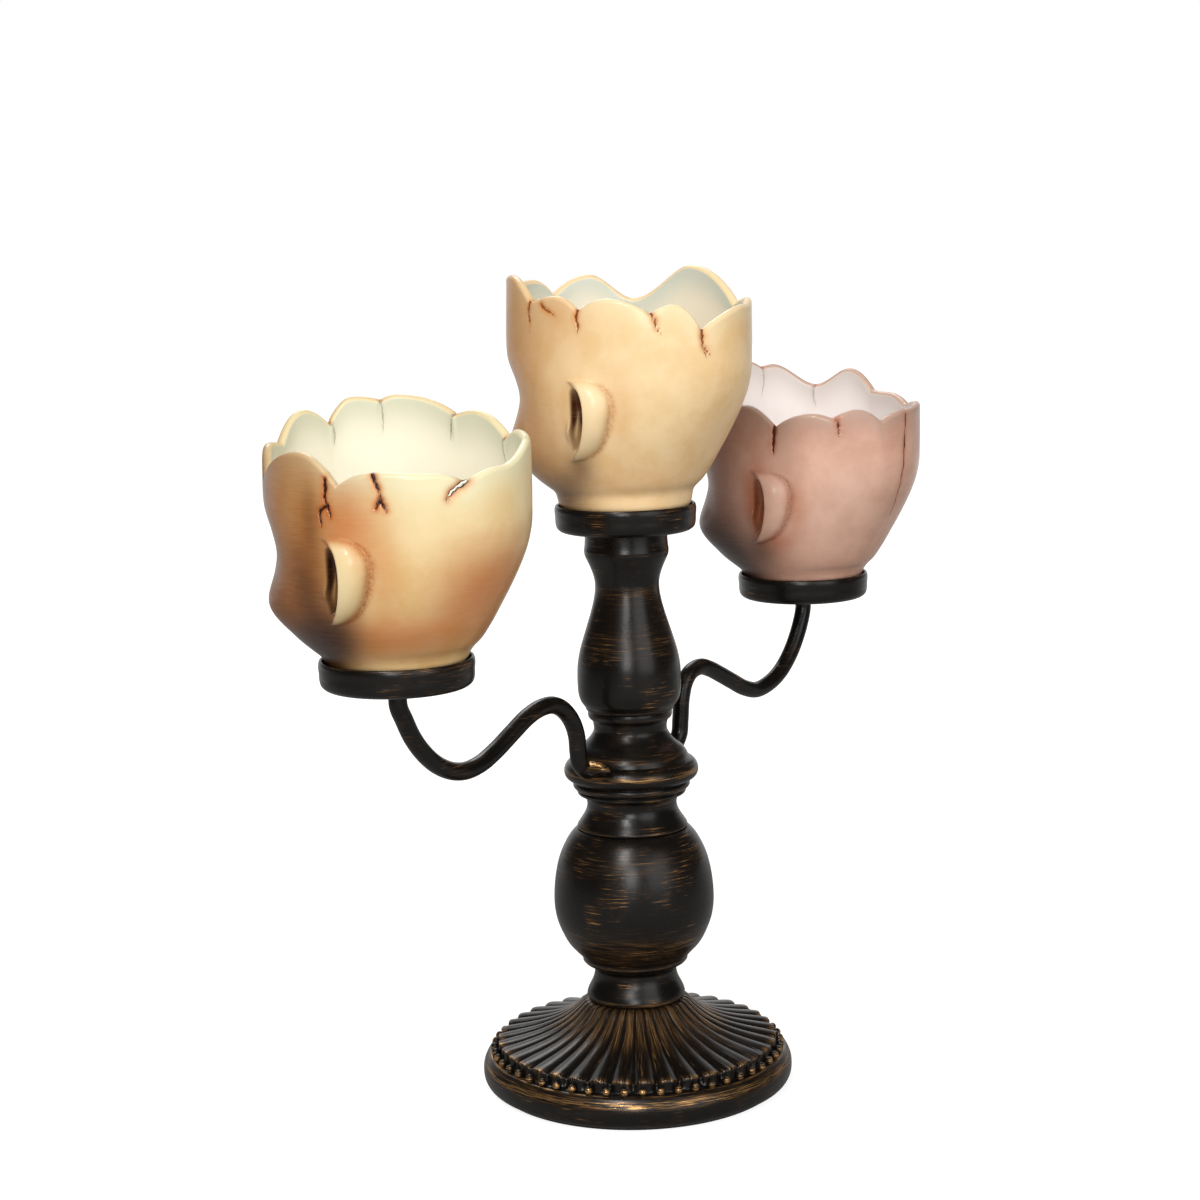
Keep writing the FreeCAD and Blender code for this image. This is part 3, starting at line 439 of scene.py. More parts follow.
@dataclass(frozen=True)
class RubbedBronze:
    """Satin black enamel over cast metal, dry-brushed with bronze.

    The enamel gives a broad soft shine on near-black. The brush leaves hair-thin dull streaks
    in patches with a few bright flecks, and wears through to metal on the crests, whose gold
    also stands for painted highlights on the foot's rolled edge and land, the beads and the
    welds. A radial brush turns level where the mark "rolled" says.
    """

    black: str = "#0a0908"
    umber: str = "#130e09"
    bronze: str = "#664426"
    gold: str = "#d3a367"
    roughness: float = 0.27
    specular: float = 0.33
    metallic: float = 0.85
    # A bristle's mark is about 0.2 mm wide; it is drawn at twice that to show.
    hair_mm: float = 0.38
    hair_length_mm: float = 15.0
    ring_mm: float = 50.0
    patch_mm: float = 19.0
    grain_mm: float = 1.1
    # Values of the hairs' or patches' noise between which each part comes up.
    streak_at: tuple[float, float] = (0.53, 0.66)
    crest_at: tuple[float, float] = (0.46, 0.62)
    fleck_at: tuple[float, float] = (0.60, 0.72)
    patch_at: tuple[float, float] = (0.49, 0.68)
    # Where the patches' noise starts and stops to change the roughness, and by how much.
    dull_at: tuple[float, float] = (0.2, 0.8)
    dull_by: tuple[float, float] = (-0.05, 0.09)
    # How far the worn crests and painted highlights turn the bronze to gold.
    crest_gold: float = 0.45
    streak_relief: float = 1.2
    bump: float = 0.22
    bump_mm: float = 0.12

    def brush_place(self, tree: bpy.types.NodeTree, place: bpy.types.NodeSocket,
                    way: BrushWay) -> bpy.types.NodeSocket:
        """Stretch the pattern's coordinates along the brush's strokes.

        Level strokes are long in X and Y and thin in Z. Radial strokes are long in the
        distance from the stem and thin round it: the direction from the stem, laid on a
        ring, is paired with the distance.

        Args:
            tree: the material's node tree.
            place: the object coordinates.
            way: how the brush was drawn.

        Returns:
            The coordinates, in hair widths.
        """
        along, across = 1 / (self.hair_length_mm * MM), 1 / (self.hair_mm * MM)
        level = add_node(tree, "Mapping", inputs={0: place, "Scale": (along, along, across)})
        if way is BrushWay.LEVEL:
            return level.outputs[0]
        flat = add_node(tree, "VectorMath", TIMES, {0: place, 1: (1, 1, 0)})
        aim = add_node(tree, "VectorMath", {"operation": "NORMALIZE"}, {0: flat.outputs[0]})
        ring = add_node(tree, "VectorMath", {"operation": "SCALE"}, {
            0: aim.outputs[0], "Scale": self.ring_mm / self.hair_mm})
        reach = add_node(tree, "VectorMath", {"operation": "LENGTH"}, {0: flat.outputs[0]})
        far = add_node(tree, "Math", TIMES, {0: reach.outputs["Value"], 1: along})
        lift = add_node(tree, "CombineXYZ", inputs={2: far.outputs[0]})
        radial = add_node(tree, "VectorMath", {"operation": "ADD"}, {
            0: ring.outputs[0], 1: lift.outputs[0]})
        rolled = add_node(tree, "Attribute", {"attribute_name": "rolled"})
        return add_node(tree, "Mix", {"data_type": "VECTOR"}, {
            0: rolled.outputs["Fac"], 4: radial.outputs[0], 5: level.outputs[0]}).outputs[1]

    def material(self, name: str, streaks: float, way: BrushWay) -> bpy.types.Material:
        """Build the finish, which reads a mark for worn crests and painted highlights.

        Args:
            name: the material's name.
            streaks: how much bronze the brush leaves, from 0 to 1.
            way: how the brush was drawn.

        Returns:
            The material.
        """
        material, tree = new_material(name)
        place = add_node(tree, "TexCoord").outputs["Object"]
        laid = self.brush_place(tree, place, way)
        hair = add_node(tree, "TexNoise", inputs={
            "Vector": laid, "Scale": 1.0, "Detail": 2.5, "Roughness": 0.62}).outputs[0]
        patch = add_node(tree, "TexNoise", inputs={
            "Vector": place, "Scale": 1 / (self.patch_mm * MM), "Detail": 3.0,
            "Roughness": 0.6}).outputs[0]
        thin, broad, bright = (
            add_node(tree, "MapRange", SMOOTH, {0: hair, 1: low, 2: high}).outputs[0]
            for low, high in (self.streak_at, self.crest_at, self.fleck_at))
        wide = add_node(tree, "MapRange", SMOOTH, {
            0: patch, 1: self.patch_at[0], 2: self.patch_at[1], 4: streaks}).outputs[0]
        # Worn crests and, on some edges, painted highlights.
        crest = add_node(tree, "Attribute", {"attribute_name": "raised"}).outputs["Fac"]
        dry = add_node(tree, "Math", TIMES, {0: thin, 1: wide}).outputs[0]
        worn = add_node(tree, "Math", TIMES_CLAMPED, {0: crest, 1: broad}).outputs[0]
        mask = add_node(tree, "Math", {"operation": "MAXIMUM"}, {0: dry, 1: worn}).outputs[0]
        depth = add_node(tree, "Mix", COLOURS, {
            0: patch, 6: linear(self.black), 7: linear(self.umber)}).outputs[2]
        polish = add_node(tree, "Math", {"operation": "MULTIPLY_ADD", "use_clamp": True}, {
            0: crest, 1: self.crest_gold, 2: bright}).outputs[0]
        warm = add_node(tree, "Mix", COLOURS, {
            0: polish, 6: linear(self.bronze), 7: linear(self.gold)}).outputs[2]
        colour = add_node(tree, "Mix", COLOURS, {0: mask, 6: depth, 7: warm}).outputs[2]
        grain = add_node(tree, "TexNoise", inputs={
            "Vector": place, "Scale": 1 / (self.grain_mm * MM), "Detail": 3.0}).outputs[0]
        relief = add_node(tree, "Math", {"operation": "MULTIPLY_ADD"}, {
            0: mask, 1: self.streak_relief, 2: grain}).outputs[0]
        bump = add_node(tree, "Bump", inputs={
            "Strength": self.bump, "Distance": self.bump_mm * MM, "Height": relief}).outputs[0]
        dull = add_node(tree, "MapRange", inputs={
            0: patch, 1: self.dull_at[0], 2: self.dull_at[1], 3: self.roughness + self.dull_by[0],
            4: self.roughness + self.dull_by[1]}).outputs[0]
        metal = add_node(tree, "Math", TIMES, {0: mask, 1: self.metallic}).outputs[0]
        shader = add_node(tree, "BsdfPrincipled", inputs={
            "Base Color": colour, "Metallic": metal, "Roughness": dull, "Normal": bump,
            "Specular IOR Level": self.specular})
        add_node(tree, "OutputMaterial", inputs={"Surface": shader.outputs[0]})
        return material


@dataclass(frozen=True)
class PlatedSteel:
    """Zinc-plated fasteners: pale grey metal, with a fine cloudy grain from the bath."""

    colour: str = "#b4b3ae"
    roughness: float = 0.38
    dull_by: tuple[float, float] = (-0.08, 0.1)
    grain_mm: float = 0.8

    def material(self) -> bpy.types.Material:
        """Build the finish.

        Returns:
            The material.
        """
        material, tree = new_material("zinc_plated_steel")
        place = add_node(tree, "TexCoord").outputs["Object"]
        cloud = add_node(tree, "TexNoise", inputs={
            "Vector": place, "Scale": 1 / (self.grain_mm * MM), "Detail": 3.0})
        dull = add_node(tree, "MapRange", inputs={
            0: cloud.outputs[0], 3: self.roughness + self.dull_by[0],
            4: self.roughness + self.dull_by[1]})
        shader = add_node(tree, "BsdfPrincipled", inputs={
            "Base Color": linear(self.colour), "Metallic": 1.0, "Roughness": dull.outputs[0]})
        add_node(tree, "OutputMaterial", inputs={"Surface": shader.outputs[0]})
        return material


@dataclass(frozen=True)
class PressedFelt:
    """Pressed wool felt: matt, with tangled fibres that lift a little light at the edge."""

    dark: str = "#1b1a19"
    pale: str = "#3a3734"
    roughness: float = 0.95
    sheen: float = 0.4
    fibre_mm: float = 0.5
    tangle: float = 1.2
    bump: float = 0.6
    bump_mm: float = 0.3

    def material(self) -> bpy.types.Material:
        """Build the finish.

        Returns:
            The material.
        """
        material, tree = new_material("pressed_felt")
        place = add_node(tree, "TexCoord").outputs["Object"]
        fibre = add_node(tree, "TexNoise", inputs={
            "Vector": place, "Scale": 1 / (self.fibre_mm * MM), "Detail": 5.0,
            "Distortion": self.tangle}).outputs[0]
        colour = add_node(tree, "Mix", COLOURS, {
            0: fibre, 6: linear(self.dark), 7: linear(self.pale)})
        bump = add_node(tree, "Bump", inputs={
            "Strength": self.bump, "Distance": self.bump_mm * MM, "Height": fibre})
        shader = add_node(tree, "BsdfPrincipled", inputs={
            "Base Color": colour.outputs[2], "Roughness": self.roughness,
            "Sheen Weight": self.sheen, "Normal": bump.outputs[0]})
        add_node(tree, "OutputMaterial", inputs={"Surface": shader.outputs[0]})
        return material


@dataclass(frozen=True)
class DollGlaze:
    """Cast resin under a gloss varnish, with airbrushed paint and painted shadow.

    The skin colour deepens to a warm blush, then to a brown wash and to a dark shade where the
    marks say; the shade is dark brown paint together with painted shadow under the ears and
    jaw and painted shade in the ears' hollows. The inside and the rim fade to a pale tone,
    which also lays a painted highlight on the ears' folds and painted light along an open
    crack. Rust-coloured specks gather in the creases, and the varnish lays a thin clear shine
    over it all.
    """

    name: str
    slot: str
    skin: str
    deep: str
    blush: str
    wash: str
    # Dark brown paint, and the colour of the painted shadow under the ears and jaw and of the painted
    # shade in the ears' hollows.
    shade: str
    # The inside's colour, also the painted light along an open crack.
    inside: str
    # The rim's paint, also the colour of the painted highlight on the ears' folds.
    rim: str
    edge: str
    crack: str = "#3a190e"
    rust: str = "#a0501f"
    roughness: float = 0.33
    dull_by: tuple[float, float] = (-0.06, 0.1)
    specular: float = 0.3
    varnish: float = 0.15
    varnish_roughness: float = 0.08
    mottle_mm: float = 16.0
    stroke_mm: float = 14.0
    brush_mm: float = 0.9
    speck_mm: float = 1.3
    # Values of each noise between which the deeper skin, the strokes and the specks come up.
    deep_at: tuple[float, float] = (0.35, 0.7)
    stroke_at: tuple[float, float] = (0.3, 0.7)
    speck_at: tuple[float, float] = (0.36, 0.66)
    # How much of the sprayed paint the weakest and strongest strokes leave.
    stroke_cover: tuple[float, float] = (0.93, 1.05)
    bump: float = 0.08
    bump_mm: float = 0.15

    def material(self) -> bpy.types.Material:
        """Build the finish from the marks that the head's surface carries.

        Each mark lays its colour over those before it.

        Returns:
            The material.
        """
        material, tree = new_material(self.name)
        place = add_node(tree, "TexCoord").outputs["Object"]
        mottle = add_node(tree, "TexNoise", inputs={
            "Vector": place, "Scale": 1 / (self.mottle_mm * MM), "Detail": 4.0,
            "Roughness": 0.6}).outputs[0]
        along, across = 1 / (self.stroke_mm * MM), 1 / (self.brush_mm * MM)
        laid = add_node(tree, "Mapping", inputs={0: place, "Scale": (along, along, across)})
        brush = add_node(tree, "TexNoise", inputs={
            "Vector": laid.outputs[0], "Scale": 1.0, "Detail": 3.0, "Roughness": 0.7}).outputs[0]
        speck = add_node(tree, "TexNoise", inputs={
            "Vector": place, "Scale": 1 / (self.speck_mm * MM), "Detail": 4.0,
            "Roughness": 0.7}).outputs[0]
        cloud, specks = (
            add_node(tree, "MapRange", SMOOTH, {0: noise, 1: low, 2: high}).outputs[0]
            for noise, (low, high) in ((mottle, self.deep_at), (speck, self.speck_at)))
        airbrush = add_node(tree, "MapRange", inputs={
            0: brush, 1: self.stroke_at[0], 2: self.stroke_at[1],
            3: self.stroke_cover[0], 4: self.stroke_cover[1]}).outputs[0]
        colour = add_node(tree, "Mix", COLOURS, {
            0: cloud, 6: linear(self.skin), 7: linear(self.deep)}).outputs[2]
        # The pale layer also paints a highlight on the ears' folds, the shade layer painted shadow
        # and shade as well as dark paint, and the inside layer painted light along an open crack.
        layers = (("pale", self.rim, None), ("blush", self.blush, airbrush),
                  ("wash", self.wash, airbrush), ("shade", self.shade, airbrush),
                  ("crease", self.rust, specks), ("inside", self.inside, None),
                  ("edge", self.edge, None), ("crack", self.crack, None))
        for mark, code, uneven in layers:
            layer = add_node(tree, "Attribute", {"attribute_name": mark}).outputs["Fac"]
            if uneven is not None:
                layer = add_node(tree, "Math", TIMES_CLAMPED, {0: layer, 1: uneven}).outputs[0]
            colour = add_node(tree, "Mix", COLOURS, {0: layer, 6: colour, 7: linear(code)}).outputs[2]
        bump = add_node(tree, "Bump", inputs={
            "Strength": self.bump, "Distance": self.bump_mm * MM, "Height": brush})
        dull = add_node(tree, "MapRange", inputs={
            0: mottle, 3: self.roughness + self.dull_by[0], 4: self.roughness + self.dull_by[1]})
        shader = add_node(tree, "BsdfPrincipled", inputs={
            "Base Color": colour, "Roughness": dull.outputs[0], "Normal": bump.outputs[0],
            "Specular IOR Level": self.specular, "Coat Weight": self.varnish,
            "Coat Roughness": self.varnish_roughness})
        add_node(tree, "OutputMaterial", inputs={"Surface": shader.outputs[0]})
        return material


@dataclass(frozen=True)
class Worn:
    """A place that the brush wears, on some edges also a painted highlight: where it lies, how far it
    spreads, how worn it is.
    """

    at: float
    spread: float
    amount: float

    def over(self, place: Array) -> Array:
        """Return how worn each place is: a bell about the middle."""
        return self.amount * bell(place - self.at, self.spread)


@dataclass
class TurnedPiece:
    """One cast or turned piece of the stem, from its side profile and its worn heights."""

    node: str
    side: tuple[tuple[float, ...], ...]
    raised: tuple[Worn, ...] = ()
    bore: float = ROD_HOLE
    spacing: float = 0.45
    columns: int = 288

    def build(self, finish: bpy.types.Material) -> bpy.types.Object:
        """Turn the profile, closed down the bore, and mark the edges that the brush catches.

        Args:
            finish: the piece's material.

        Returns:
            The dressed piece.
        """
        low, high = self.side[0][1], self.side[-1][1]
        points = ((self.bore, low), (*self.side[0][:2], 1), *self.side[1:-1],
                  (*self.side[-1][:2], 1), (self.bore, high))
        profile = outline(points, self.spacing)
        grid = turn_profile(profile, self.columns)
        caught = sum((worn.over(profile[:, 1]) for worn in self.raised), np.zeros(len(profile)))
        surface = Surface.of_grid(grid, {"raised": caught[:, None]}, closed_rows=True)
        return surface.to_object(f"{self.node}_turned", STAND, "dark_bronze", (self.node,), finish)


@dataclass
class Stem:
    """The stack of turned pieces between the foot and the top pan."""

    pieces: tuple[TurnedPiece, ...] = (
        TurnedPiece("foot_collar", (
            (22.8, 43.5), (24.0, 44.2), (24.45, 45.6), (24.0, 47.6), (22.6, 50.6), (21.2, 53.6),
            (20.5, 56.4), (20.3, 58.5)), (Worn(45.4, 0.8, 0.5),)),
        TurnedPiece("globe", (
            (20.3, 58.5), (20.9, 59.5), (22.8, 61.0), (25.4, 62.6), (26.1, 63.4, 1),
            (26.4, 65.2, 1), (27.2, 66.3), (29.0, 68.2), (33.2, 73.0), (36.5, 79.3), (38.7, 85.5),
            (39.65, 91.6), (39.7, 97.8), (39.2, 104.0), (38.2, 110.2), (36.6, 116.3),
            (34.0, 122.4), (30.6, 127.9), (28.4, 130.2), (27.6, 130.8)),
            (Worn(64.2, 0.6, 0.35), Worn(76.0, 7.0, 0.42), Worn(119.0, 5.0, 0.22))),
        TurnedPiece("globe_neck", (
            (26.2, 130.8), (27.2, 131.3), (27.3, 132.2), (26.4, 133.8), (24.2, 137.2),
            (22.7, 140.2), (22.15, 143.0), (22.5, 145.2), (22.9, 146.2)),
            (Worn(132.2, 0.5, 0.3),)),
        TurnedPiece("arm_ring", (
            (22.9, 146.2), (24.6, 147.6), (26.6, 148.5), (27.0, 149.6, 1), (26.4, 150.4, 1),
            (27.9, 151.0), (28.9, 152.4), (28.8, 153.8), (28.3, 154.6, 1), (30.4, 155.6),
            (32.4, 157.2), (33.2, 159.6), (32.7, 162.4), (31.0, 164.6), (28.6, 165.6)),
            (Worn(152.6, 0.5, 0.6), Worn(161.0, 1.2, 1.1))),
        TurnedPiece("vase_collar", (
            (28.6, 165.6), (28.2, 167.2), (27.2, 169.2), (25.2, 171.6), (22.0, 174.4),
            (19.6, 177.2), (18.1, 180.2), (18.1, 182.6), (18.8, 185.0), (20.4, 186.6),
            (20.8, 188.2), (20.6, 190.0)),
            (Worn(169.0, 1.6, 0.4), Worn(187.6, 0.4, 0.3))),
        TurnedPiece("vase", (
            (20.6, 190.0), (21.6, 190.7), (21.9, 191.8, 1), (22.4, 192.5), (24.0, 194.8),
            (25.0, 197.8), (25.45, 202.4), (25.5, 207.0), (25.2, 213.0), (24.1, 219.2),
            (22.3, 225.6), (20.2, 232.2), (18.2, 238.6), (16.6, 244.8), (15.8, 250.0),
            (15.7, 252.8)),
            (Worn(191.7, 0.4, 0.35), Worn(226.0, 7.0, 0.22), Worn(250.0, 6.0, 0.25))),
        TurnedPiece("top_collar", (
            (15.7, 252.8), (15.9, 254.6), (16.6, 257.6), (17.8, 261.0), (19.4, 264.6),
            (20.5, 267.2), (20.75, 269.4, 1), (20.5, 271.0), (20.2, 275.0), (20.1, 278.6)),
            (Worn(268.6, 0.5, 0.25),)),
    )

    def build(self, finish: bpy.types.Material) -> None:
        """Build every piece of the stack."""
        for piece in self.pieces:
            piece.build(finish)


@dataclass
class Foot:
    """The cast foot: convex ribs round a hollow dome, a beaded land and a rolled edge."""

    ribs: int = 38
    beads: int = 52
    bead_reach: float = 71.7
    bead_radius: float = 2.05
    bead_height: float = 18.8
    rib_height: tuple[float, float] = (0.9, 2.7)
    rib_span: tuple[float, float] = (24.5, 66.5)
    scallop: float = 3.4
    steps_per_rib: int = 14
    bore: float = ROD_HOLE
    # Reaches between which the ribs come up under the collar, and where their ends start.
    rib_start: tuple[float, float] = (22.5, 26.0)
    scallop_start: float = 60.0
    # The ribs' and the scallops' middle heights stay on the profile.
    rib_middle: float = 0.62
    scallop_middle: float = 0.9
    lip_rows: int = 6
    dome_spacing: float = 0.9
    border_spacing: float = 0.7
    hollow_spacing: float = 2.2
    border_start: float = 70.0
    # Ribs wear by their reach, the rolled edge by its height, the land's edge by its distance;
    # the rolled edge and the land's edge carry painted highlights as well as wear.
    worn_collar: Worn = Worn(32.0, 11.0, 0.8)
    worn_ends: Worn = Worn(69.5, 2.0, 0.9)
    worn_everywhere: float = 0.04
    roll_wear_and_highlight: Worn = Worn(13.6, 1.7, 1.3)
    roll_start: float = 74.0
    edge_wear_and_highlight: Worn = Worn(0.0, 0.7, 0.9)
    edge_at: tuple[float, float] = (73.6, 17.2)
    bead_rings: tuple[int, int] = (11, 18)
    bead_gap: float = 0.02
    bead_wear_and_highlight: float = 2.4
    dome: tuple[tuple[float, ...], ...] = (
        (22.0, 43.5), (25.5, 42.4), (29.0, 39.2), (34.0, 35.0), (40.0, 31.4), (47.0, 28.4),
        (55.0, 26.0), (62.0, 24.3), (66.5, 23.2), (69.5, 22.4))
    border: tuple[tuple[float, ...], ...] = (
        (70.2, 17.4), (71.6, 17.0), (73.2, 17.2), (74.6, 16.4), (76.0, 14.4), (77.2, 11.6),
        (77.5, 8.2), (77.0, 5.0), (75.4, 2.6), (73.2, 1.7), (71.4, 1.55))
    hollow: tuple[tuple[float, ...], ...] = (
        (64.0, 1.55), (65.0, 5.0), (66.3, 11.0), (66.5, 15.5), (64.0, 18.6), (56.0, 21.4),
        (46.0, 24.4), (37.0, 28.4), (29.0, 34.0), (23.0, 38.6), (14.0, 39.3), (ROD_HOLE, 39.3))

    def rib_wave(self, turn: Array) -> Array:
        """Height across the ribs: half a circle over each, with a sharp valley between.

        Args:
            turn: angles round the foot.

        Returns:
            0 in the valleys and 1 on the crests.
        """
        across = 2 * np.mod(turn * self.ribs / (2 * math.pi), 1.0) - 1
        return np.sqrt(np.clip(1 - across**2, 0, 1))

    def dome_rows(self, wave: Array, top: Array) -> tuple[Array, Array]:
        """Raise a rib on the dome over each share of the circle.

        The ribs grow towards the edge, end in scallops, and die away under the collar.

        Args:
            wave: height across the ribs, from 0 to 1, at each angle.
            top: the dome's profile as rows of radius and height.

        Returns:
            The reach from the stem and the height of each point.
        """
        start, end = self.rib_span
        low, high = self.rib_height
        along = np.clip((top[:, 0] - start) / (end - start), 0, 1)
        swell = (low + (high - low) * along) * ease(*self.rib_start, top[:, 0])
        outer = ease(self.scallop_start, top[-1, 0], top[:, 0])[:, None]
        reach = top[:, :1] + outer * self.scallop * (wave - self.scallop_middle)
        return reach, top[:, 1:] + swell[:, None] * (wave - self.rib_middle)

    def worn(self, wave: Array, top: Array, reach: Array, height: Array) -> Array:
        """Mark where the brush wears the casting, on its crests, rolled edge and land's edge, with
        painted highlights on the last two.

        Args:
            wave: height across the ribs, from 0 to 1, at each angle.
            top: the dome's profile as rows of radius and height.
            reach: each point's reach from the stem, from the hollow up to the bore.
            height: each point's height.

        Returns:
            The mark of wear and painted highlight at each point.
        """
        near_collar = self.worn_collar.over(top[:, 0])[::-1, None]
        near_end = self.worn_ends.over(top[:, 0])[::-1, None]
        crest = np.zeros(reach.shape)
        crest[-1 - len(top):-1] = (ease(0.5, 0.85, wave) * (near_collar + self.worn_everywhere)
                                   + near_end * ease(0.3, 0.8, wave))
        # Painted highlights as well as wear on the rolled edge and the land's edge.
        roll = self.roll_wear_and_highlight.over(height) * (reach > self.roll_start)
        edge = self.edge_wear_and_highlight.over(np.hypot(reach - self.edge_at[0], height - self.edge_at[1]))
        return crest + roll + edge

    def build_casting(self, finish: bpy.types.Material) -> bpy.types.Object:
        """Close the ribbed dome, a rounded lip, the border and the hollow into one casting.

        Args:
            finish: the casting's material.

        Returns:
            The dressed piece.
        """
        turn = np.linspace(0, 2 * math.pi, self.ribs * self.steps_per_rib, endpoint=False)
        wave = self.rib_wave(turn)
        top = outline(self.dome, self.dome_spacing)
        border = outline(self.border, self.border_spacing)
        reach, height = self.dome_rows(wave, top)
        step = np.linspace(0, 1, self.lip_rows + 2)[1:-1, None]
        lip_reach = reach[-1] + (border[0, 0] - reach[-1]) * step**2
        lip_height = height[-1] + (border[0, 1] - height[-1]) * (1 - (1 - step)**2)
        ring = np.concatenate([border, outline(self.hollow, self.hollow_spacing)])
        level = 0 * turn[None]
        reach = np.concatenate([self.bore + level, reach, lip_reach, ring[:, :1] + level])[::-1]
        height = np.concatenate([self.dome[0][1] + level, height, lip_height,
                                 ring[:, 1:] + level])[::-1]
        grid = np.stack([reach * np.cos(turn), reach * np.sin(turn), height], -1)
        marks = {"raised": self.worn(wave, top, reach, height),
                 "rolled": 1.0 * (reach > self.border_start)}
        surface = Surface.of_grid(grid, marks, closed_rows=True)
        return surface.to_object("foot_casting", STAND, "dark_bronze", ("foot_dome",), finish)

    def build_beads(self, finish: bpy.types.Material) -> bpy.types.Object:
        """Set a ring of beads in the land: each is a ball of rings about its own axis.

        Args:
            finish: the beads' material.

        Returns:
            The dressed piece.
        """
        polar, turn = ball_angles(*self.bead_rings, self.bead_gap)
        ball = np.stack([np.cos(polar) * np.cos(turn), np.cos(polar) * np.sin(turn),
                         np.sin(polar) + 0 * turn], -1) * self.bead_radius
        balls = []
        for index in range(self.beads):
            angle = 2 * math.pi * index / self.beads
            place = np.array([math.cos(angle) * self.bead_reach,
                              math.sin(angle) * self.bead_reach, self.bead_height])
            outward = ball[..., 0] * math.cos(angle) + ball[..., 1] * math.sin(angle)
            # Gold on each bead's outer, lower side is wear and a painted highlight.
            facing = (0.95 * outward - 0.1 * ball[..., 2]) / self.bead_radius
            caught = self.bead_wear_and_highlight * ease(0.0, 0.8, facing)
            balls.append(Surface.of_grid(ball + place, {"raised": caught}, capped=True))
        surface = balls[0].joined(*balls[1:])
        return surface.to_object("foot_beads", STAND, "dark_bronze", (), finish)


@dataclass
class Pan:
    """A spun pan with an upright rim."""

    side: Side
    hole: float
    radius: float = 34.3
    height: float = 13.3
    wall: float = 1.5
    floor: float = 1.6
    under: tuple[tuple[float, float], ...] = (
        (27.0, 0.0), (29.6, 0.05), (32.0, 0.7), (33.6, 2.2), (34.2, 4.4))
    worn_lip: float = 0.3
    spacing: float = 0.45
    columns: int = 256

    @property
    def node(self) -> str:
        """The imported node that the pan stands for."""
        return f"pan_{self.side.value}"

    def centre(self) -> Vector:
        """Find the middle of the pan's underside.

        Returns:
            Its place in millimetres, from the frame.
        """
        low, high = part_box(self.node)
        middle = (low + high) / 2
        return Vector((middle.x, middle.y, low.z)) / MM

    def build(self, finish: bpy.types.Material) -> bpy.types.Object:
        """Turn the pan: rounded under edge, straight side, rolled lip and flat floor.

        Args:
            finish: the pan's material.

        Returns:
            The dressed piece.
        """
        base = self.centre()
        reach, inner, top = self.radius, self.radius - self.wall, self.height
        points = (
            (self.hole, 0), *self.under, (reach, 7.0), (reach, top - 0.9), (reach - 0.25, top - 0.25),
            (reach - self.wall / 2, top), (inner + 0.2, top - 0.3), (inner, top - 1.0),
            (inner, self.floor + 3.0), (inner - 0.8, self.floor + 0.8),
            (inner - 3.0, self.floor, 1), (self.hole, self.floor))
        profile = outline(points, self.spacing)
        caught = self.worn_lip * bell(profile[:, 1] - top, 0.9) * (profile[:, 0] > inner)
        profile[:, 1] += base.z
        grid = turn_profile(profile, self.columns, (base.x, base.y))
        surface = Surface.of_grid(grid, {"raised": caught[:, None]}, closed_rows=True)
        return surface.to_object(f"{self.node}_spun", STAND, "dark_bronze", (self.node,), finish)


PANS = {side: Pan(side, ROD_HOLE if side is Side.CENTRE else SCREW_HOLE) for side in Side}


@dataclass
class Arm:
    """A bent round tube from the ring to a side pan, with a weld where it meets the ring."""

    side: Side
    path: tuple[tuple[float, float], ...]
    radius: float = 4.2
    columns: int = 40
    weld_reach: float = 33.4
    weld_forward: float = 5.4
    weld_height: float = 166.6
    weld_size: tuple[float, float, float] = (4.8, 8.4, 3.1)
    weld_rings: tuple[int, int] = (25, 56)
    # Radians that the weld's first and last rings keep from its ends.
    weld_gap: float = 0.006 * math.pi
    # Each wave of lumps: its height, and how many go round the weld and up it.
    weld_waves: tuple[tuple[float, int, int], ...] = ((0.08, 3, 2), (0.035, 7, -4))
    weld_wear_and_highlight: float = 3.2
    path_points: int = 220

    def weld(self, sign: int) -> Surface:
        """Pile the weld's lumps round the arm's foot.

        The bead is a ball stretched to its three sizes, whose radius swells and shrinks with
        the sum of two waves round it and up it.

        Args:
            sign: -1 for the left arm and 1 for the right one.

        Returns:
            The weld, gold on top for wear and a painted highlight.
        """
        polar, turn = ball_angles(*self.weld_rings, self.weld_gap)
        lumps = sum((high * np.sin(around * turn + up * polar)
                     for high, around, up in self.weld_waves), 1.0)
        reach = np.cos(polar) * lumps
        size = np.array(self.weld_size)
        ball = np.stack([reach * np.cos(turn), reach * np.sin(turn),
                         np.sin(polar) * lumps], -1) * size
        place = np.array([sign * self.weld_reach, sign * self.weld_forward, self.weld_height])
        # Gold on the weld's top is wear and a painted highlight.
        caught = self.weld_wear_and_highlight * ease(-0.1, 0.6, ball[..., 2] / size[2])
        return Surface.of_grid(ball + place, {"raised": caught}, capped=True)

    def build(self, finish: bpy.types.Material) -> bpy.types.Object:
        """Carry a ring along the arm's centre line, and add the weld at its foot.

        Args:
            finish: the arm's material.

        Returns:
            The dressed piece.
        """
        sign = -1 if self.side is Side.LEFT else 1
        points = np.array([(sign * reach, 0.0, height) for reach, height in self.path])
        path = smooth_path(points, self.path_points)
        tube = sweep(path, np.full(len(path), self.radius), self.columns)
        marks = {"raised": np.zeros(tube.shape[:2])}
        surface = Surface.of_grid(tube, marks, capped=True).joined(self.weld(sign))
        node = f"arm_{self.side.value}"
        return surface.to_object(f"{node}_tube", STAND, "dark_bronze", (node,), finish)


class CrackKind(Enum):
    """How far a crack goes through the shell."""

    SKIN = "skin"
    THROUGH = "through"
    OPEN = "open"


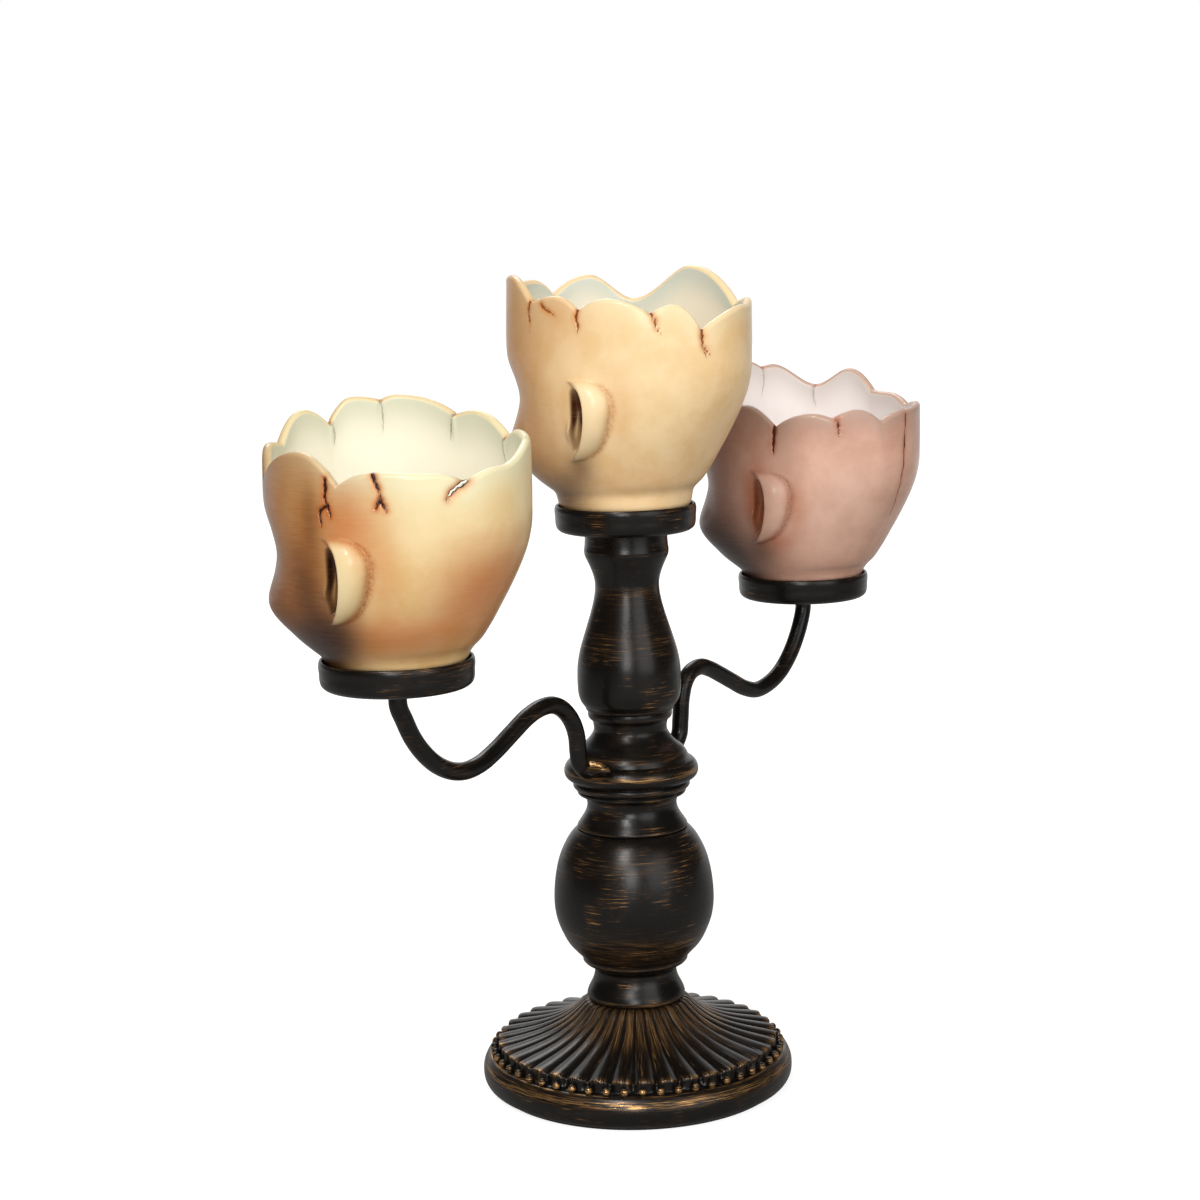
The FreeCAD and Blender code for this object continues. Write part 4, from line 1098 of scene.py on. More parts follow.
@dataclass(frozen=True)
class Crack:
    """A crack in a head: its line of (angle, height), and its width in millimetres.

    A crack in the skin shows outside only, one that goes through shows as a hair line
    inside too, and an open one carries a pale strip of the inside's colour on its outside:
    painted light standing for the lit inside seen through it.
    """

    line: tuple[tuple[float, float], ...]
    width: float = 0.9
    kind: CrackKind = CrackKind.SKIN
    # Millimetres round the head for each degree, on a head 55 mm in radius.
    per_degree: float = 0.96
    # The spacing of the crack's points in millimetres, and the fewest of them.
    step: float = 0.4
    fewest: int = 12
    unevenness: float = 0.22
    wave: float = 17.0
    hair: float = 0.04
    deepest: float = 1.3
    # A cut is this share of the half width wide, and this much more.
    cut_spread: tuple[float, float] = (1.25, 0.12)
    stain_spread: float = 1.3
    # Half widths from which a crack cuts and stains fully.
    full_cut: float = 0.4
    full_stain: float = 0.5
    # How far the core wanders to each side, and how fast, in two waves.
    wander: tuple[tuple[float, float], ...] = ((0.16, 31.0), (0.1, 67.0))

    @property
    def depth(self) -> float:
        """How deep it cuts into the skin, in millimetres."""
        return min(self.deepest, 0.95 * self.width)

    def path(self) -> tuple[Array, Array, Array]:
        """Follow the crack at steps of under half a millimetre.

        The half width is half the crack's, made uneven by a wave along it.

        Returns:
            Points of (arc length round the head, height), the crack's half width at each,
            tapering to its far end, and the share of its length there.
        """
        flat = np.array(self.line) * (self.per_degree, 1.0)
        length = np.linalg.norm(np.diff(flat, axis=0), axis=1).sum()
        points = smooth_path(flat, max(self.fewest, int(length / self.step)))
        share = np.linspace(0, 1, len(points))
        uneven = 1 + self.unevenness * np.sin(share * self.wave + self.line[-1][1])
        half = 0.5 * self.width * uneven * np.clip(1.25 - share, 0.2, 1) * ease(1.02, 0.8, share)
        return points, half + self.hair, share

    def field(self, angle: Array, height: Array) -> tuple[Array, Array]:
        """Measure how deep the crack cuts at each place, and how far its stain spreads.

        Both are bells of the distance to the nearest point of the crack: the cut's is as
        wide as the crack, and the stain's a little over a millimetre wider.

        Args:
            angle: angles in degrees.
            height: heights over the pan's rim.

        Returns:
            The cut and the stain, each from 0 to 1.
        """
        points, half, _ = self.path()
        x, y = angle[..., None] * self.per_degree, height[..., None]
        gap = np.hypot(x - points[:, 0], y - points[:, 1])
        wide, more = self.cut_spread
        cut = (bell(gap, wide * half + more) * np.clip(half / self.full_cut, 0, 1)).max(-1)
        stain = (bell(gap, half + self.stain_spread)
                 * np.clip(half / self.full_stain, 0, 1)).max(-1)
        return cut, stain


@dataclass(frozen=True)
class Strip:
    """A strip laid along a crack: on which wall, how wide and high it lies, and its marks.

    Its width is a share of the crack's and its lift over the wall is in millimetres.
    """

    inside: bool
    share_of_width: float
    lift: float
    marks: dict[str, float]


CORE = Strip(False, 0.85, 0.17, {"crack": 1.0})
STRIPS = {
    CrackKind.SKIN: (CORE,),
    CrackKind.THROUGH: (CORE, Strip(True, 0.55, 0.08, {"crack": 0.5, "inside": 1.0})),
    # The open crack's upper strip is painted light: the pale inside colour laid on the outside.
    CrackKind.OPEN: (CORE, Strip(False, 0.5, 0.3, {"inside": 1.0})),
}


@dataclass(frozen=True)
class SoftSpot:
    """A soft spot on both sides of a head: paint, a swelling, or a dip if it is negative.

    Its angle and spread are in degrees from the face. Its level and depth, its spread up
    and down, are in millimetres over the pan's rim.
    """

    angle: float
    spread: float
    level: float
    depth: float
    amount: float

    def over(self, near: Array, level: Array) -> Array:
        """Return its amount at each place: one bell across the head times one up it."""
        return (self.amount * bell(near - self.angle, self.spread)
                * bell(level - self.level, self.depth))


def spots(*rows: tuple[float, ...]) -> tuple[SoftSpot, ...]:
    """Make a soft spot of each row of angle, spread, level, depth and amount."""
    return tuple(SoftSpot(*row) for row in rows)


FACE = {
    "cheek": SoftSpot(40, 24, 24, 11, 5.2),
    "chin": SoftSpot(0, 16, 10.5, 5, 3.2),
    "brow": SoftSpot(26, 18, 64, 8, 1.2),
    "eye socket": SoftSpot(27, 14, 51, 7, -4.6),
    "closed lid": SoftSpot(25, 8.5, 50.2, 4.4, 4.8),
    "edge of the lid": SoftSpot(25, 9.5, 47.2, 0.9, -1.3),
    "tip of the nose": SoftSpot(0, 5.4, 39.8, 4.8, 4.4),
    "bridge of the nose": SoftSpot(0, 3.6, 48.5, 7.5, 2.6),
    "nostril": SoftSpot(6.6, 3.2, 38.2, 3, 2.2),
    "upper lip": SoftSpot(0, 9.5, 28.6, 1.9, 2.6),
    "lower lip": SoftSpot(0, 7.5, 24.6, 2.1, 2.8),
    "line of the mouth": SoftSpot(0, 12, 26.6, 0.8, -1.5),
    "groove over the lip": SoftSpot(0, 2, 32, 2.4, -0.7),
}

# The faces are turned away in the photograph; lips, cheeks and lash lines are plain guesses.
FACE_PAINT = {
    "blush": spots((0, 8.5, 26.6, 3.2, 1.0), (32, 12, 32, 8, 0.45)),
    "shade": spots((25, 8, 47.4, 0.9, 0.9)),
}


@dataclass(frozen=True)
class Ear:
    """The ear on each side of a head.

    The fold and the back are each (angle, how far it bows back, how far it leans) in
    degrees. Heights are in millimetres over the pan's rim. Dark says how much painted shade
    fills its hollow, rust how strongly its crease is painted, and pale how much painted
    highlight, over paler paint, its fold takes.
    """

    level: float = 40.0
    half: float = 19.2
    fold: tuple[float, float, float] = (101.0, 10.5, 2.5)
    back: tuple[float, float, float] = (103.5, 19.0, 5.0)
    bluntness: float = 2.6
    stand: float = 8.3
    slit_level: float = 40.5
    slit_half: float = 15.0
    slit_width: float = 8.5
    wall: tuple[float, float] = (2.4, 4.0)
    hollow: float = 3.7
    hollow_edge: float = 2.6
    # Powers of the rounded back, and degrees from the fold, the back and the hollow's front
    # that the fold's painted highlight, the crease's paint and the hollow's painted shade take up.
    back_powers: tuple[float, float] = (2.1, 0.6)
    fold_highlight_band: tuple[float, float] = (-2.4, 0.6)
    crease_band: tuple[float, float] = (0.9, 1.9)
    hollow_shade_band: tuple[float, float] = (-0.8, 1.4)
    # The ridge in the hollow is placed from the fold, and the tragus from the hollow's front.
    ridge: SoftSpot = SoftSpot(-7.6, 1.2, 37.0, 7.0, 1.0)
    ridge_rise: float = 2.3
    # The ridge is spared this share of the hollow's painted shade.
    ridge_spared: float = 0.65
    tragus: SoftSpot = SoftSpot(-0.4, 2.2, 35.0, 4.2, 2.4)
    # Painted shade in the hollow, rust paint in the crease, painted highlight on the fold.
    dark: float = 1.1
    rust: float = 0.45
    pale: float = 0.5

    def shape(self, angle: Array, height: Array) -> tuple[Array, Array, Array, Array]:
        """Rise of the ears, and the marks for the hollow, the fold and the crease behind.

        Seen from the side the fold and the crease are parts of leaning ovals, the crease's
        with blunter ends. From front to back the skin dips into the hollow, climbs a wall to
        the fold and falls over a rounded back, a flattened half ellipse, to a crisp crease.
        The wall is steep along the slit and eases into the temple over it and into the cheek
        under it. The hollow is given painted shade, darkest in its upper half and lighter on its
        ridge, and the fold a painted highlight that fades over the back.

        Args:
            angle: angles in degrees.
            height: heights over the pan's rim, without the neck's rise.

        Returns:
            The rise in millimetres and three marks: the hollow's painted shade, the fold's painted
                highlight and the crease.
        """
        near = from_face(angle)
        up = (height - self.level) / self.half
        oval = np.sqrt(np.clip(1 - up**2, 0, 1))
        blunt = np.sqrt(np.clip(1 - np.abs(up)**self.bluntness, 0, 1))
        fold, back = (base + reach * bow + lean * np.clip(up, -1, 1)
                      for (base, reach, lean), bow in ((self.fold, oval), (self.back, blunt)))
        slit = np.sqrt(np.clip(1 - ((height - self.slit_level) / self.slit_half)**2, 0, 1))
        wall = self.wall[0] + self.wall[1] * (1 - slit)
        front = fold - wall - self.slit_width * slit
        stand = self.stand * oval**0.75
        past = np.clip((near - fold) / (back - fold), 0, 1)
        over = stand * (1 - past**self.back_powers[0])**self.back_powers[1]
        climb = ease(0.0, 1.0, (near - fold + wall) / wall)
        hollow = ease(front, front + self.hollow_edge, near) * (1 - climb) * slit
        ridge = self.ridge.over(near - fold, height)
        rise = (np.where(near >= fold, over, stand * climb) - self.hollow * hollow
                + self.ridge_rise * ridge + self.tragus.over(near - front, height))
        # A painted highlight along the fold, fading over the rounded back.
        fold_highlight = ease(*self.fold_highlight_band, near - fold) * (1 - past**2) * ease(0.1, 0.65, oval)
        crease = bell(near - back - self.crease_band[0], self.crease_band[1])
        start, end = self.hollow_shade_band
        # Painted shade in the hollow, darker in its upper half and lighter on the ridge.
        deep = ease(front + start, front + end, near) * (1 - climb) * slit**0.5
        dark = deep * (0.7 + 0.35 * ease(33, 42, height)) * (1 - self.ridge_spared * ridge)
        return rise, dark, fold_highlight, crease * ease(0.0, 0.5, oval)


@dataclass(frozen=True)
class Shading:
    """How strongly a head's forms gather its colours, and how far some of them spread."""

    lip_fade: tuple[float, float] = (0.95, 0.1)
    rim_pale: float = 0.7
    rim_spread: float = 8.0
    # The ear's fold, which carries a painted highlight, is spared this share of the blush, wash and
    # shade.
    fold_spared: float = 0.8
    stain_blush: float = 0.75
    stain_spared: float = 0.8
    crease_wash: float = 0.3
    edge_tone: float = 0.9
    edge_spread: float = 13.0
    cut_dark: float = 0.75


class Rim(IntEnum):
    """What a point of a broken rim is."""

    NOTCH = 0
    TOP = 1


# The rims' tables are long, so the two kinds have short names there.
NOTCH, TOP = Rim.NOTCH, Rim.TOP


@dataclass
class DollHead:
    """An open doll head: a moulded shell with a face, two ears and a broken crown.

    Angles are in degrees from the face, +Y, towards -X. Heights are over the pan's rim.
    """

    side: Side
    glaze: DollGlaze
    turn: float
    rim: tuple[tuple[float, float, Rim], ...]
    cracks: tuple[Crack, ...] = ()
    paint: dict[str, tuple[SoftSpot, ...]] = field(default_factory=dict)
    rise: float = 0.0
    columns: int = 470
    skin_rows: int = 140
    lip_rows: int = 9
    inside_rows: int = 40
    wall: float = 4.3
    floor: float = 1.2
    floor_reach: float = 19.5
    neck: float = 29.8
    neck_depth: float = 11.7
    # The skull at each height: its half width, its length to the face and its length back.
    levels: tuple[tuple[float, float, float, float], ...] = (
        (-12.0, 31.7, 31.7, 31.7), (0.0, 31.9, 31.9, 31.9), (2.6, 33.3, 33.6, 32.9),
        (4.8, 34.9, 37.8, 34.6), (7.4, 36.7, 42.6, 37.6), (14.4, 41.2, 48.6, 42.8),
        (22.4, 45.2, 51.4, 48.0), (32.4, 48.6, 52.6, 54.7), (41.4, 50.4, 51.2, 60.2),
        (49.4, 51.4, 49.6, 64.2), (58.4, 52.2, 51.6, 67.0), (70.4, 52.5, 56.6, 68.1),
        (86.4, 52.5, 57.6, 68.1), (104.4, 51.8, 57.2, 67.3), (128.0, 51.0, 56.6, 66.6))
    ear: Ear = Ear()
    shading: Shading = Shading()
    # How far the strips along cracks reach into the wall, and where the skin's rows start.
    strip_depth: float = 0.52
    skin_start: float = 0.8
    unevenness: float = 0.3
    # Heights up to which the neck stays level and round, before it rises with the head.
    level_neck: float = 8.0
    round_neck: tuple[float, float] = (4.0, 12.0)
    # Shares of the inside's height: the bowl ends, and the wall starts to follow the lip.
    bowl_share: float = 0.16
    settle_share: float = 0.86
    floor_rings: tuple[float, ...] = (0.66, 0.33, 0.02)
    # Where columns lie closer together: angle from the face, spread, and how many more.
    crowded: tuple[tuple[float, float, float], ...] = ((110.0, 15.0, 2.0), (0.0, 30.0, 0.7))

    @property
    def node(self) -> str:
        """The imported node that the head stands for."""
        return f"head_{self.side.value}"

    def rim_height(self, angle: Array) -> Array:
        """Height of the broken rim.

        Each point of the rim is a notch or a rounded top. From a notch the edge climbs
        steeply and flattens out at the top.

        Args:
            angle: angles in degrees.

        Returns:
            Heights in millimetres.
        """
        table = np.array(self.rim, float)
        table[:, 0] = np.mod(table[:, 0], 360)
        table = table[np.argsort(table[:, 0])]
        table = np.concatenate([table[-1:] - [360, 0, 0], table, table[:1] + [360, 0, 0]])
        index = np.clip(np.searchsorted(table[:, 0], np.mod(angle, 360)) - 1, 0, len(table) - 2)
        start, end = table[index], table[index + 1]
        share = (np.mod(angle, 360) - start[..., 0]) / (end[..., 0] - start[..., 0])
        both = share * share * (3 - 2 * share)
        climb = 1 - (1 - share)**2
        shape = np.where(start[..., 2] == end[..., 2], both,
                         np.where(start[..., 2] == NOTCH, climb, share**2))
        return start[..., 1] + (end[..., 1] - start[..., 1]) * shape

    def skull(self, angle: Array, height: Array) -> Array:
        """Radius of the bare skull: quarter ellipses between widths read at each height.

        Args:
            angle: angles in degrees.
            height: heights over the pan's rim, without the neck's rise.

        Returns:
            Radii in millimetres.
        """
        sizes = smooth_line(np.array(self.levels), height)
        turn = np.radians(angle)
        half = sizes[..., 0]
        length = np.where(np.cos(turn) > 0, sizes[..., 1], sizes[..., 2])
        return half * length / np.hypot(half * np.cos(turn), length * np.sin(turn))

    def radius(self, angle: Array, height: Array) -> Array:
        """Radius of the outer skin.

        It is the skull's radius and the sum of the face's parts, the ears and the
        unevenness of hand moulding, less what the cracks cut away.

        Args:
            angle: angles in degrees.
            height: heights over the pan's rim.

        Returns:
            Radii in millimetres.
        """
        level = height - self.rise * ease(0, self.level_neck, height)
        none = np.zeros(np.shape(height))
        near = from_face(angle)
        face = sum((part.over(near, level) for part in FACE.values()), none)
        waves = np.sin(np.radians(3 * angle) + level / 11) * np.cos(level / 17 + 1.3)
        cut = sum((crack.field(angle, height)[0] * crack.depth for crack in self.cracks), none)
        return (self.skull(angle, level) + face + self.ear.shape(angle, level)[0]
                + self.unevenness * waves * ease(*self.round_neck, level) - cut)

    def lining(self, angle: Array, height: Array) -> Array:
        """Radius of the inner wall: a wall's thickness inside the skull, met by the lip.

        Near the rim it eases to a wall's thickness inside the outer skin's edge, and near
        the floor it rounds in like a bowl.

        Args:
            angle: angles in degrees.
            height: heights over the pan's rim.

        Returns:
            Radii in millimetres.
        """
        top = self.rim_height(angle) - self.wall / 2
        share = np.clip((height - self.floor) / (top - self.floor), 0, 1)
        plain = self.skull(angle, height - self.rise) - self.wall
        at_top = self.skull(angle, top - self.rise) - self.wall
        edge = self.radius(angle[:1], top[:1]) - self.wall
        settled = plain + (edge - at_top) * ease(self.settle_share, 1.0, share)
        bowl = ease(0.0, self.bowl_share, share)
        return self.floor_reach + (settled - self.floor_reach) * np.sqrt(bowl + 1e-9)

    def place(self, angle: Array, radius: Array, height: Array) -> Array:
        """Turn angle, radius and height into points of the frame.

        Args:
            angle: angles in degrees.
            radius: distances from the head's axis.
            height: heights over the pan's rim.

        Returns:
            Points in millimetres.
        """
        pan = PANS[self.side]
        base = pan.centre()
        turn = np.radians(angle + self.turn)
        up = base.z + pan.height + height
        return np.stack([base.x - radius * np.sin(turn), base.y + radius * np.cos(turn),
                         up + 0 * radius], -1)

    def angles(self) -> Array:
        """Spread the columns round the head, closer together over the ears and the face.

        Returns:
            Angles in degrees.
        """
        fine = np.linspace(0, 360, 3601)
        near = from_face(fine)
        weight = sum((more * bell(near - at, spread) for at, spread, more in self.crowded), 1.0)
        total = np.r_[0, np.cumsum((weight[1:] + weight[:-1]) / 2)]
        return np.interp(np.linspace(0, total[-1], self.columns, endpoint=False), total, fine)

    def ribbon(self, crack: Crack, strip: Strip) -> Surface:
        """Lay a narrow strip along a crack, tapering to its far end.

        Across it are the crack's line, a half width to each side, and a point sunk in the
        wall that closes it below. Its middle wanders from the line by the sum of two waves.

        Args:
            crack: the crack to follow.
            strip: where the strip lies, how wide it is and its marks.

        Returns:
            The strip.
        """
        path, half, share = crack.path()
        along = np.gradient(path, axis=0)
        along /= np.linalg.norm(along, axis=1, keepdims=True)
        across = np.stack([-along[:, 1], along[:, 0]], -1)
        (wide, slow), (narrow, fast) = crack.wander
        wander = wide * np.sin(share * slow + path[0, 0]) + narrow * np.sin(share * fast)
        middle = path + across * (wander * ease(0, 0.2, share))[:, None]
        offset = (strip.share_of_width * half)[:, None] * np.array([-1.0, 0.0, 1.0, 0.0])
        flat = middle[:, None] + across[:, None] * offset[..., None]
        angle, height = flat[..., 0] / crack.per_degree, flat[..., 1]
        over = strip.lift - self.strip_depth * np.array([0.0, 0.0, 0.0, 1.0])
        radius = (self.lining(angle, height) - over) if strip.inside else (
            self.radius(angle, height) + over)
        grid = self.place(angle, radius, height)
        normal = np.cross(grid[0, 1] - grid[0, 0], grid[1, 0] - grid[0, 0])
        outward = grid[0, 0] - self.place(np.float64(0), np.float64(0), height[0, 0])
        if (normal @ outward < 0) != strip.inside:
            grid = grid[:, ::-1]
        return Surface.of_grid(grid, {name: np.full(grid.shape[:2], value)
                                      for name, value in strip.marks.items()}, capped=True)

    def underside(self) -> Array:
        """Draw the neck from the middle of its underside up to the first row of skin.

        Returns:
            Rows of radius and height over the pan's rim.
        """
        low, toe = -self.neck_depth, self.neck - 3.4
        return np.array([(0.3, -5.2), (13.4, -5.2), (14.0, -5.6), (14.0, low), (toe, low),
                         (toe + 1.6, low + 0.5), (toe + 2.8, low + 1.8), (self.neck, low + 4.2),
                         (self.neck, -2.6), (self.neck + 0.9, -1.2), (self.neck + 1.9, -0.2)])

    def build(self) -> bpy.types.Object:
        """Build the shell as one closed grid, with its cracks laid on it.

        Rows run from the middle of the neck's underside, up the skin, over the broken lip,
        which is half a circle across the wall, and down the inside to the middle of the floor.

        Returns:
            The dressed piece.
        """
        angle = self.angles()
        level = 0 * angle
        rim = self.rim_height(angle)
        lip = self.wall / 2
        under = self.underside()
        share = np.linspace(0, 1, self.skin_rows)[:, None]
        skin_height = self.skin_start + (rim - lip - self.skin_start) * share
        skin_radius = self.radius(angle + 0 * skin_height, skin_height)
        arc = np.linspace(0, math.pi, self.lip_rows + 2)[1:-1, None]
        share = np.linspace(1, 0, self.inside_rows)[:, None]
        inner_height = self.floor + (rim - lip - self.floor) * share
        inner_radius = self.lining(angle + 0 * inner_height, inner_height)
        floor_radius = self.floor_reach * np.array(self.floor_rings)[:, None] + level
        radius = np.concatenate([under[:, :1] + level, skin_radius,
                                 skin_radius[-1] - lip + lip * np.cos(arc),
                                 inner_radius, floor_radius])
        height = np.concatenate([under[:, 1:] + level, skin_height,
                                 rim - lip + lip * np.sin(arc),
                                 inner_height, self.floor + 0 * floor_radius])
        grid = self.place(angle + 0 * radius, radius, height)
        surface = Surface.of_grid(grid, self.marks(angle, height, len(under), rim), capped=True)
        surface = surface.joined(*(self.ribbon(crack, strip) for crack in self.cracks
                                   for strip in STRIPS[crack.kind]))
        body = f"{self.side.value}_head"
        return surface.to_object(f"{self.node}_shell", body, self.glaze.slot, (self.node,),
                                 self.glaze.material())

    def marks(self, angle: Array, height: Array, under: int, rim: Array) -> dict[str, Array]:
        """Work out the airbrushed paint, with its painted shadow, shade and highlight, row by row.

        Args:
            angle: the columns' angles.
            height: height of each point.
            under: number of rows under the neck.
            rim: height of the rim at each column.

        Returns:
            Values from 0 to 1 for the glaze's marks.
        """
        full = angle + 0 * height
        near = from_face(full)
        none = np.zeros(height.shape)
        tone = self.shading
        lip_start = under + self.skin_rows
        lip_end = lip_start + self.lip_rows
        outer, inside = none.copy(), none.copy()
        outer[:lip_start] = 1
        outer[lip_start:lip_end] = np.linspace(*tone.lip_fade, self.lip_rows)[:, None]
        inside[lip_end:] = 1
        level = height - self.rise
        _, hollow, fold, crease = self.ear.shape(full, level)
        sums = {name: none.copy() for name in ("pale", "blush", "wash", "shade")}
        for mark, patches in (*self.paint.items(), *FACE_PAINT.items()):
            for patch in patches:
                sums[mark] += patch.over(near, level)
        cut, stain = none, none
        for crack in self.cracks:
            deep, spread = crack.field(full, height)
            cut, stain = np.maximum(cut, deep), np.maximum(stain, spread)
        below_rim = np.clip(rim - height, 0, None)
        # Kept is small on the ear's fold, which keeps its painted highlight clear of darker paint.
        kept = 1 - tone.fold_spared * fold
        blush = sprayed(sums["blush"]) + tone.stain_blush * stain
        wash = sprayed(sums["wash"]) * kept + tone.crease_wash * crease
        # Shade is dark paint, painted shadow under the ears and jaw, and painted shade in the ears'
        # hollows.
        shade = sprayed(sums["shade"]) * kept + self.ear.dark * hollow
        pale = bell(below_rim, tone.rim_spread) * tone.rim_pale + sums["pale"]
        # The ear's fold gets a painted highlight in the rim's colour.
        pale = pale * (1 - tone.stain_spared * stain) + self.ear.pale * fold * outer
        return {"blush": np.clip(blush, 0, 1) * outer * kept,
                "wash": np.clip(wash, 0, 1) * outer,
                "shade": np.clip(shade, 0, 1) * outer,
                "pale": np.clip(pale, 0, 1) * (1 - inside),
                "crease": self.ear.rust * crease * outer,
                "inside": inside,
                "edge": bell(below_rim, tone.edge_spread) * inside * tone.edge_tone,
                "crack": tone.cut_dark * cut**2 * (1 - inside)}


@dataclass(frozen=True)
class Lamp:
    """A soft rectangular lamp: its place and its width and height in metres, and its watts."""

    name: str
    place: tuple[float, float, float]
    size: tuple[float, float]
    power: float
    aim: tuple[float, float, float] = (0.0, 0.0, 0.22)

    def hang(self) -> None:
        """Add the lamp, turned towards the middle of the object."""
        data = bpy.data.lights.new(self.name, "AREA")
        data.shape = "RECTANGLE"
        data.size, data.size_y = self.size
        data.energy = self.power
        lamp = add_object(self.name, data)
        lamp.location = self.place
        way = Vector(self.aim) - Vector(self.place)
        lamp.rotation_euler = way.to_track_quat("-Z", "Y").to_euler()


@dataclass
class Studio:
    """A pale floor, soft lamps and the camera at the photograph's angle."""

    azimuth: float = -50.0
    distance: float = 1168.1
    eye_height: float = 425.3
    pitch: float = -8.85
    roll: float = -1.29
    focal_px: float = 2414.5
    picture_px: float = 1200.0
    centre_px: tuple[float, float] = (627.46, 601.7)
    sensor: float = 36.0
    clip_end: float = 100.0
    # A high soft box, one by the camera, a wide one beside it and one at the back.
    lamps: tuple[Lamp, ...] = (
        Lamp("key", (-1.5, -0.64, 1.69), (0.26, 0.8), 20.5),
        Lamp("front", (-1.81, -1.29, 0.82), (0.6, 0.8), 15.0),
        Lamp("fill", (-0.38, -1.88, 0.8), (1.3, 1.3), 11.0),
        Lamp("back", (0.7, 1.0, 1.7), (0.9, 0.9), 14.0))
    # The room's light from the sides, and from the camera's side.
    room_light: tuple[float, float] = (0.22, 0.6)
    # What reflections see: the dim room, and the backdrop.
    backdrop: tuple[float, float] = (0.05, 1.0)
    # Cosines of the angle from straight ahead between which the two rise.
    screen_at: tuple[float, float] = (0.5, -1.0)
    backdrop_at: tuple[float, float] = (0.6, 1.0)
    floor_colour: str = "#a3a2a0"
    floor_half: float = 6.0
    # The floor's glow near the object and far from it, and the metres where it rises.
    glow: tuple[float, float] = (0.84, 1.0)
    glow_reach: tuple[float, float] = (0.25, 1.4)
    # How brightly the floor behind the object is mirrored, and the metres where it rises.
    mirrored: float = 0.75
    mirror_reach: tuple[float, float] = (0.2, 2.0)

    @property
    def away(self) -> tuple[float, float, float]:
        """The level direction that the camera looks in."""
        azimuth = math.radians(self.azimuth)
        return -math.sin(azimuth), math.cos(azimuth), 0.0

    def set_camera(self) -> None:
        """Place the camera, with the small shift that the picture's framing has."""
        data = bpy.data.cameras.new("camera")
        camera = add_object("camera", data)
        azimuth, pitch, roll = (math.radians(v) for v in (self.azimuth, self.pitch, self.roll))
        back = Vector((math.sin(azimuth), -math.cos(azimuth), 0))
        forward = Vector((-back.x * math.cos(pitch), -back.y * math.cos(pitch), math.sin(pitch)))
        right = forward.cross(Vector((0, 0, 1))).normalized()
        up = right.cross(forward)
        level = right * math.cos(roll) + up * math.sin(roll)
        upright = up * math.cos(roll) - right * math.sin(roll)
        frame = Matrix((level, upright, -forward)).transposed().to_4x4()
        place = back * self.distance + Vector((0, 0, self.eye_height))
        camera.matrix_world = Matrix.Translation(place * MM) @ frame
        data.sensor_width = self.sensor
        data.lens = self.focal_px / self.picture_px * self.sensor
        half = self.picture_px / 2
        data.shift_x = -(self.centre_px[0] - half) / self.picture_px
        data.shift_y = (self.centre_px[1] - half) / self.picture_px
        data.clip_end = self.clip_end
        bpy.context.scene.camera = camera

    def set_world(self) -> None:
        """Light all round at a low level, before a white backdrop.

        Straight views see white everywhere. Reflections see the white backdrop behind the
        object, which fades to the dim room at its sides. The light on dull surfaces is
        strongest from the camera's side, as from a large screen there.
        """
        world = bpy.data.worlds.new("studio")
        world.use_nodes = True
        tree = world.node_tree
        tree.nodes.clear()
        ray = add_node(tree, "LightPath").outputs
        seen = add_node(tree, "Math", {"operation": "MAXIMUM"}, {
            0: ray["Is Camera Ray"], 1: ray["Is Transmission Ray"]})
        aim = add_node(tree, "TexCoord").outputs["Generated"]
        behind = add_node(tree, "VectorMath", {"operation": "DOT_PRODUCT"}, {
            0: aim, 1: self.away})
        backdrop = add_node(tree, "MapRange", SMOOTH, {
            0: behind.outputs["Value"], 1: self.backdrop_at[0], 2: self.backdrop_at[1],
            3: self.backdrop[0], 4: self.backdrop[1]})
        screen = add_node(tree, "MapRange", SMOOTH, {
            0: behind.outputs["Value"], 1: self.screen_at[0], 2: self.screen_at[1],
            3: self.room_light[0], 4: self.room_light[1]})
        room = add_node(tree, "Mix", NUMBERS, {
            0: ray["Is Glossy Ray"], 2: screen.outputs[0], 3: backdrop.outputs[0]})
        strength = add_node(tree, "Mix", NUMBERS, {
            0: seen.outputs[0], 2: room.outputs[0], 3: 1.0})
        glow = add_node(tree, "Background", inputs={0: WHITE, 1: strength.outputs[0]})
        add_node(tree, "OutputWorld", inputs={"Surface": glow.outputs[0]})
        bpy.context.scene.world = world

    def lay_floor(self) -> None:
        """Lay a pale floor that keeps the object's shadow and is white where it is lit.

        To the camera the floor glows a little more with the distance from the object, where
        the lamps no longer reach, so that it meets the white backdrop without a line.
        """
        material, tree = new_material("pale_floor")
        ray = add_node(tree, "LightPath").outputs
        matt = add_node(tree, "BsdfDiffuse", inputs={0: linear(self.floor_colour)})
        place = add_node(tree, "TexCoord").outputs["Object"]
        reach = add_node(tree, "VectorMath", {"operation": "LENGTH"}, {0: place})
        far = add_node(tree, "MapRange", SMOOTH, {
            0: reach.outputs["Value"], 1: self.glow_reach[0], 2: self.glow_reach[1],
            3: self.glow[0], 4: self.glow[1]})
        behind = add_node(tree, "VectorMath", {"operation": "DOT_PRODUCT"}, {
            0: place, 1: self.away})
        mirrored = add_node(tree, "MapRange", SMOOTH, {
            0: behind.outputs["Value"], 1: self.mirror_reach[0], 2: self.mirror_reach[1],
            3: 0.0, 4: self.mirrored})
        glossy = add_node(tree, "Math", TIMES, {
            0: mirrored.outputs[0], 1: ray["Is Glossy Ray"]})
        strength = add_node(tree, "Mix", NUMBERS, {
            0: ray["Is Camera Ray"], 2: glossy.outputs[0], 3: far.outputs[0]})
        white = add_node(tree, "Emission", inputs={0: WHITE, 1: strength.outputs[0]})
        both = add_node(tree, "AddShader", inputs={0: matt.outputs[0], 1: white.outputs[0]})
        add_node(tree, "OutputMaterial", inputs={"Surface": both.outputs[0]})
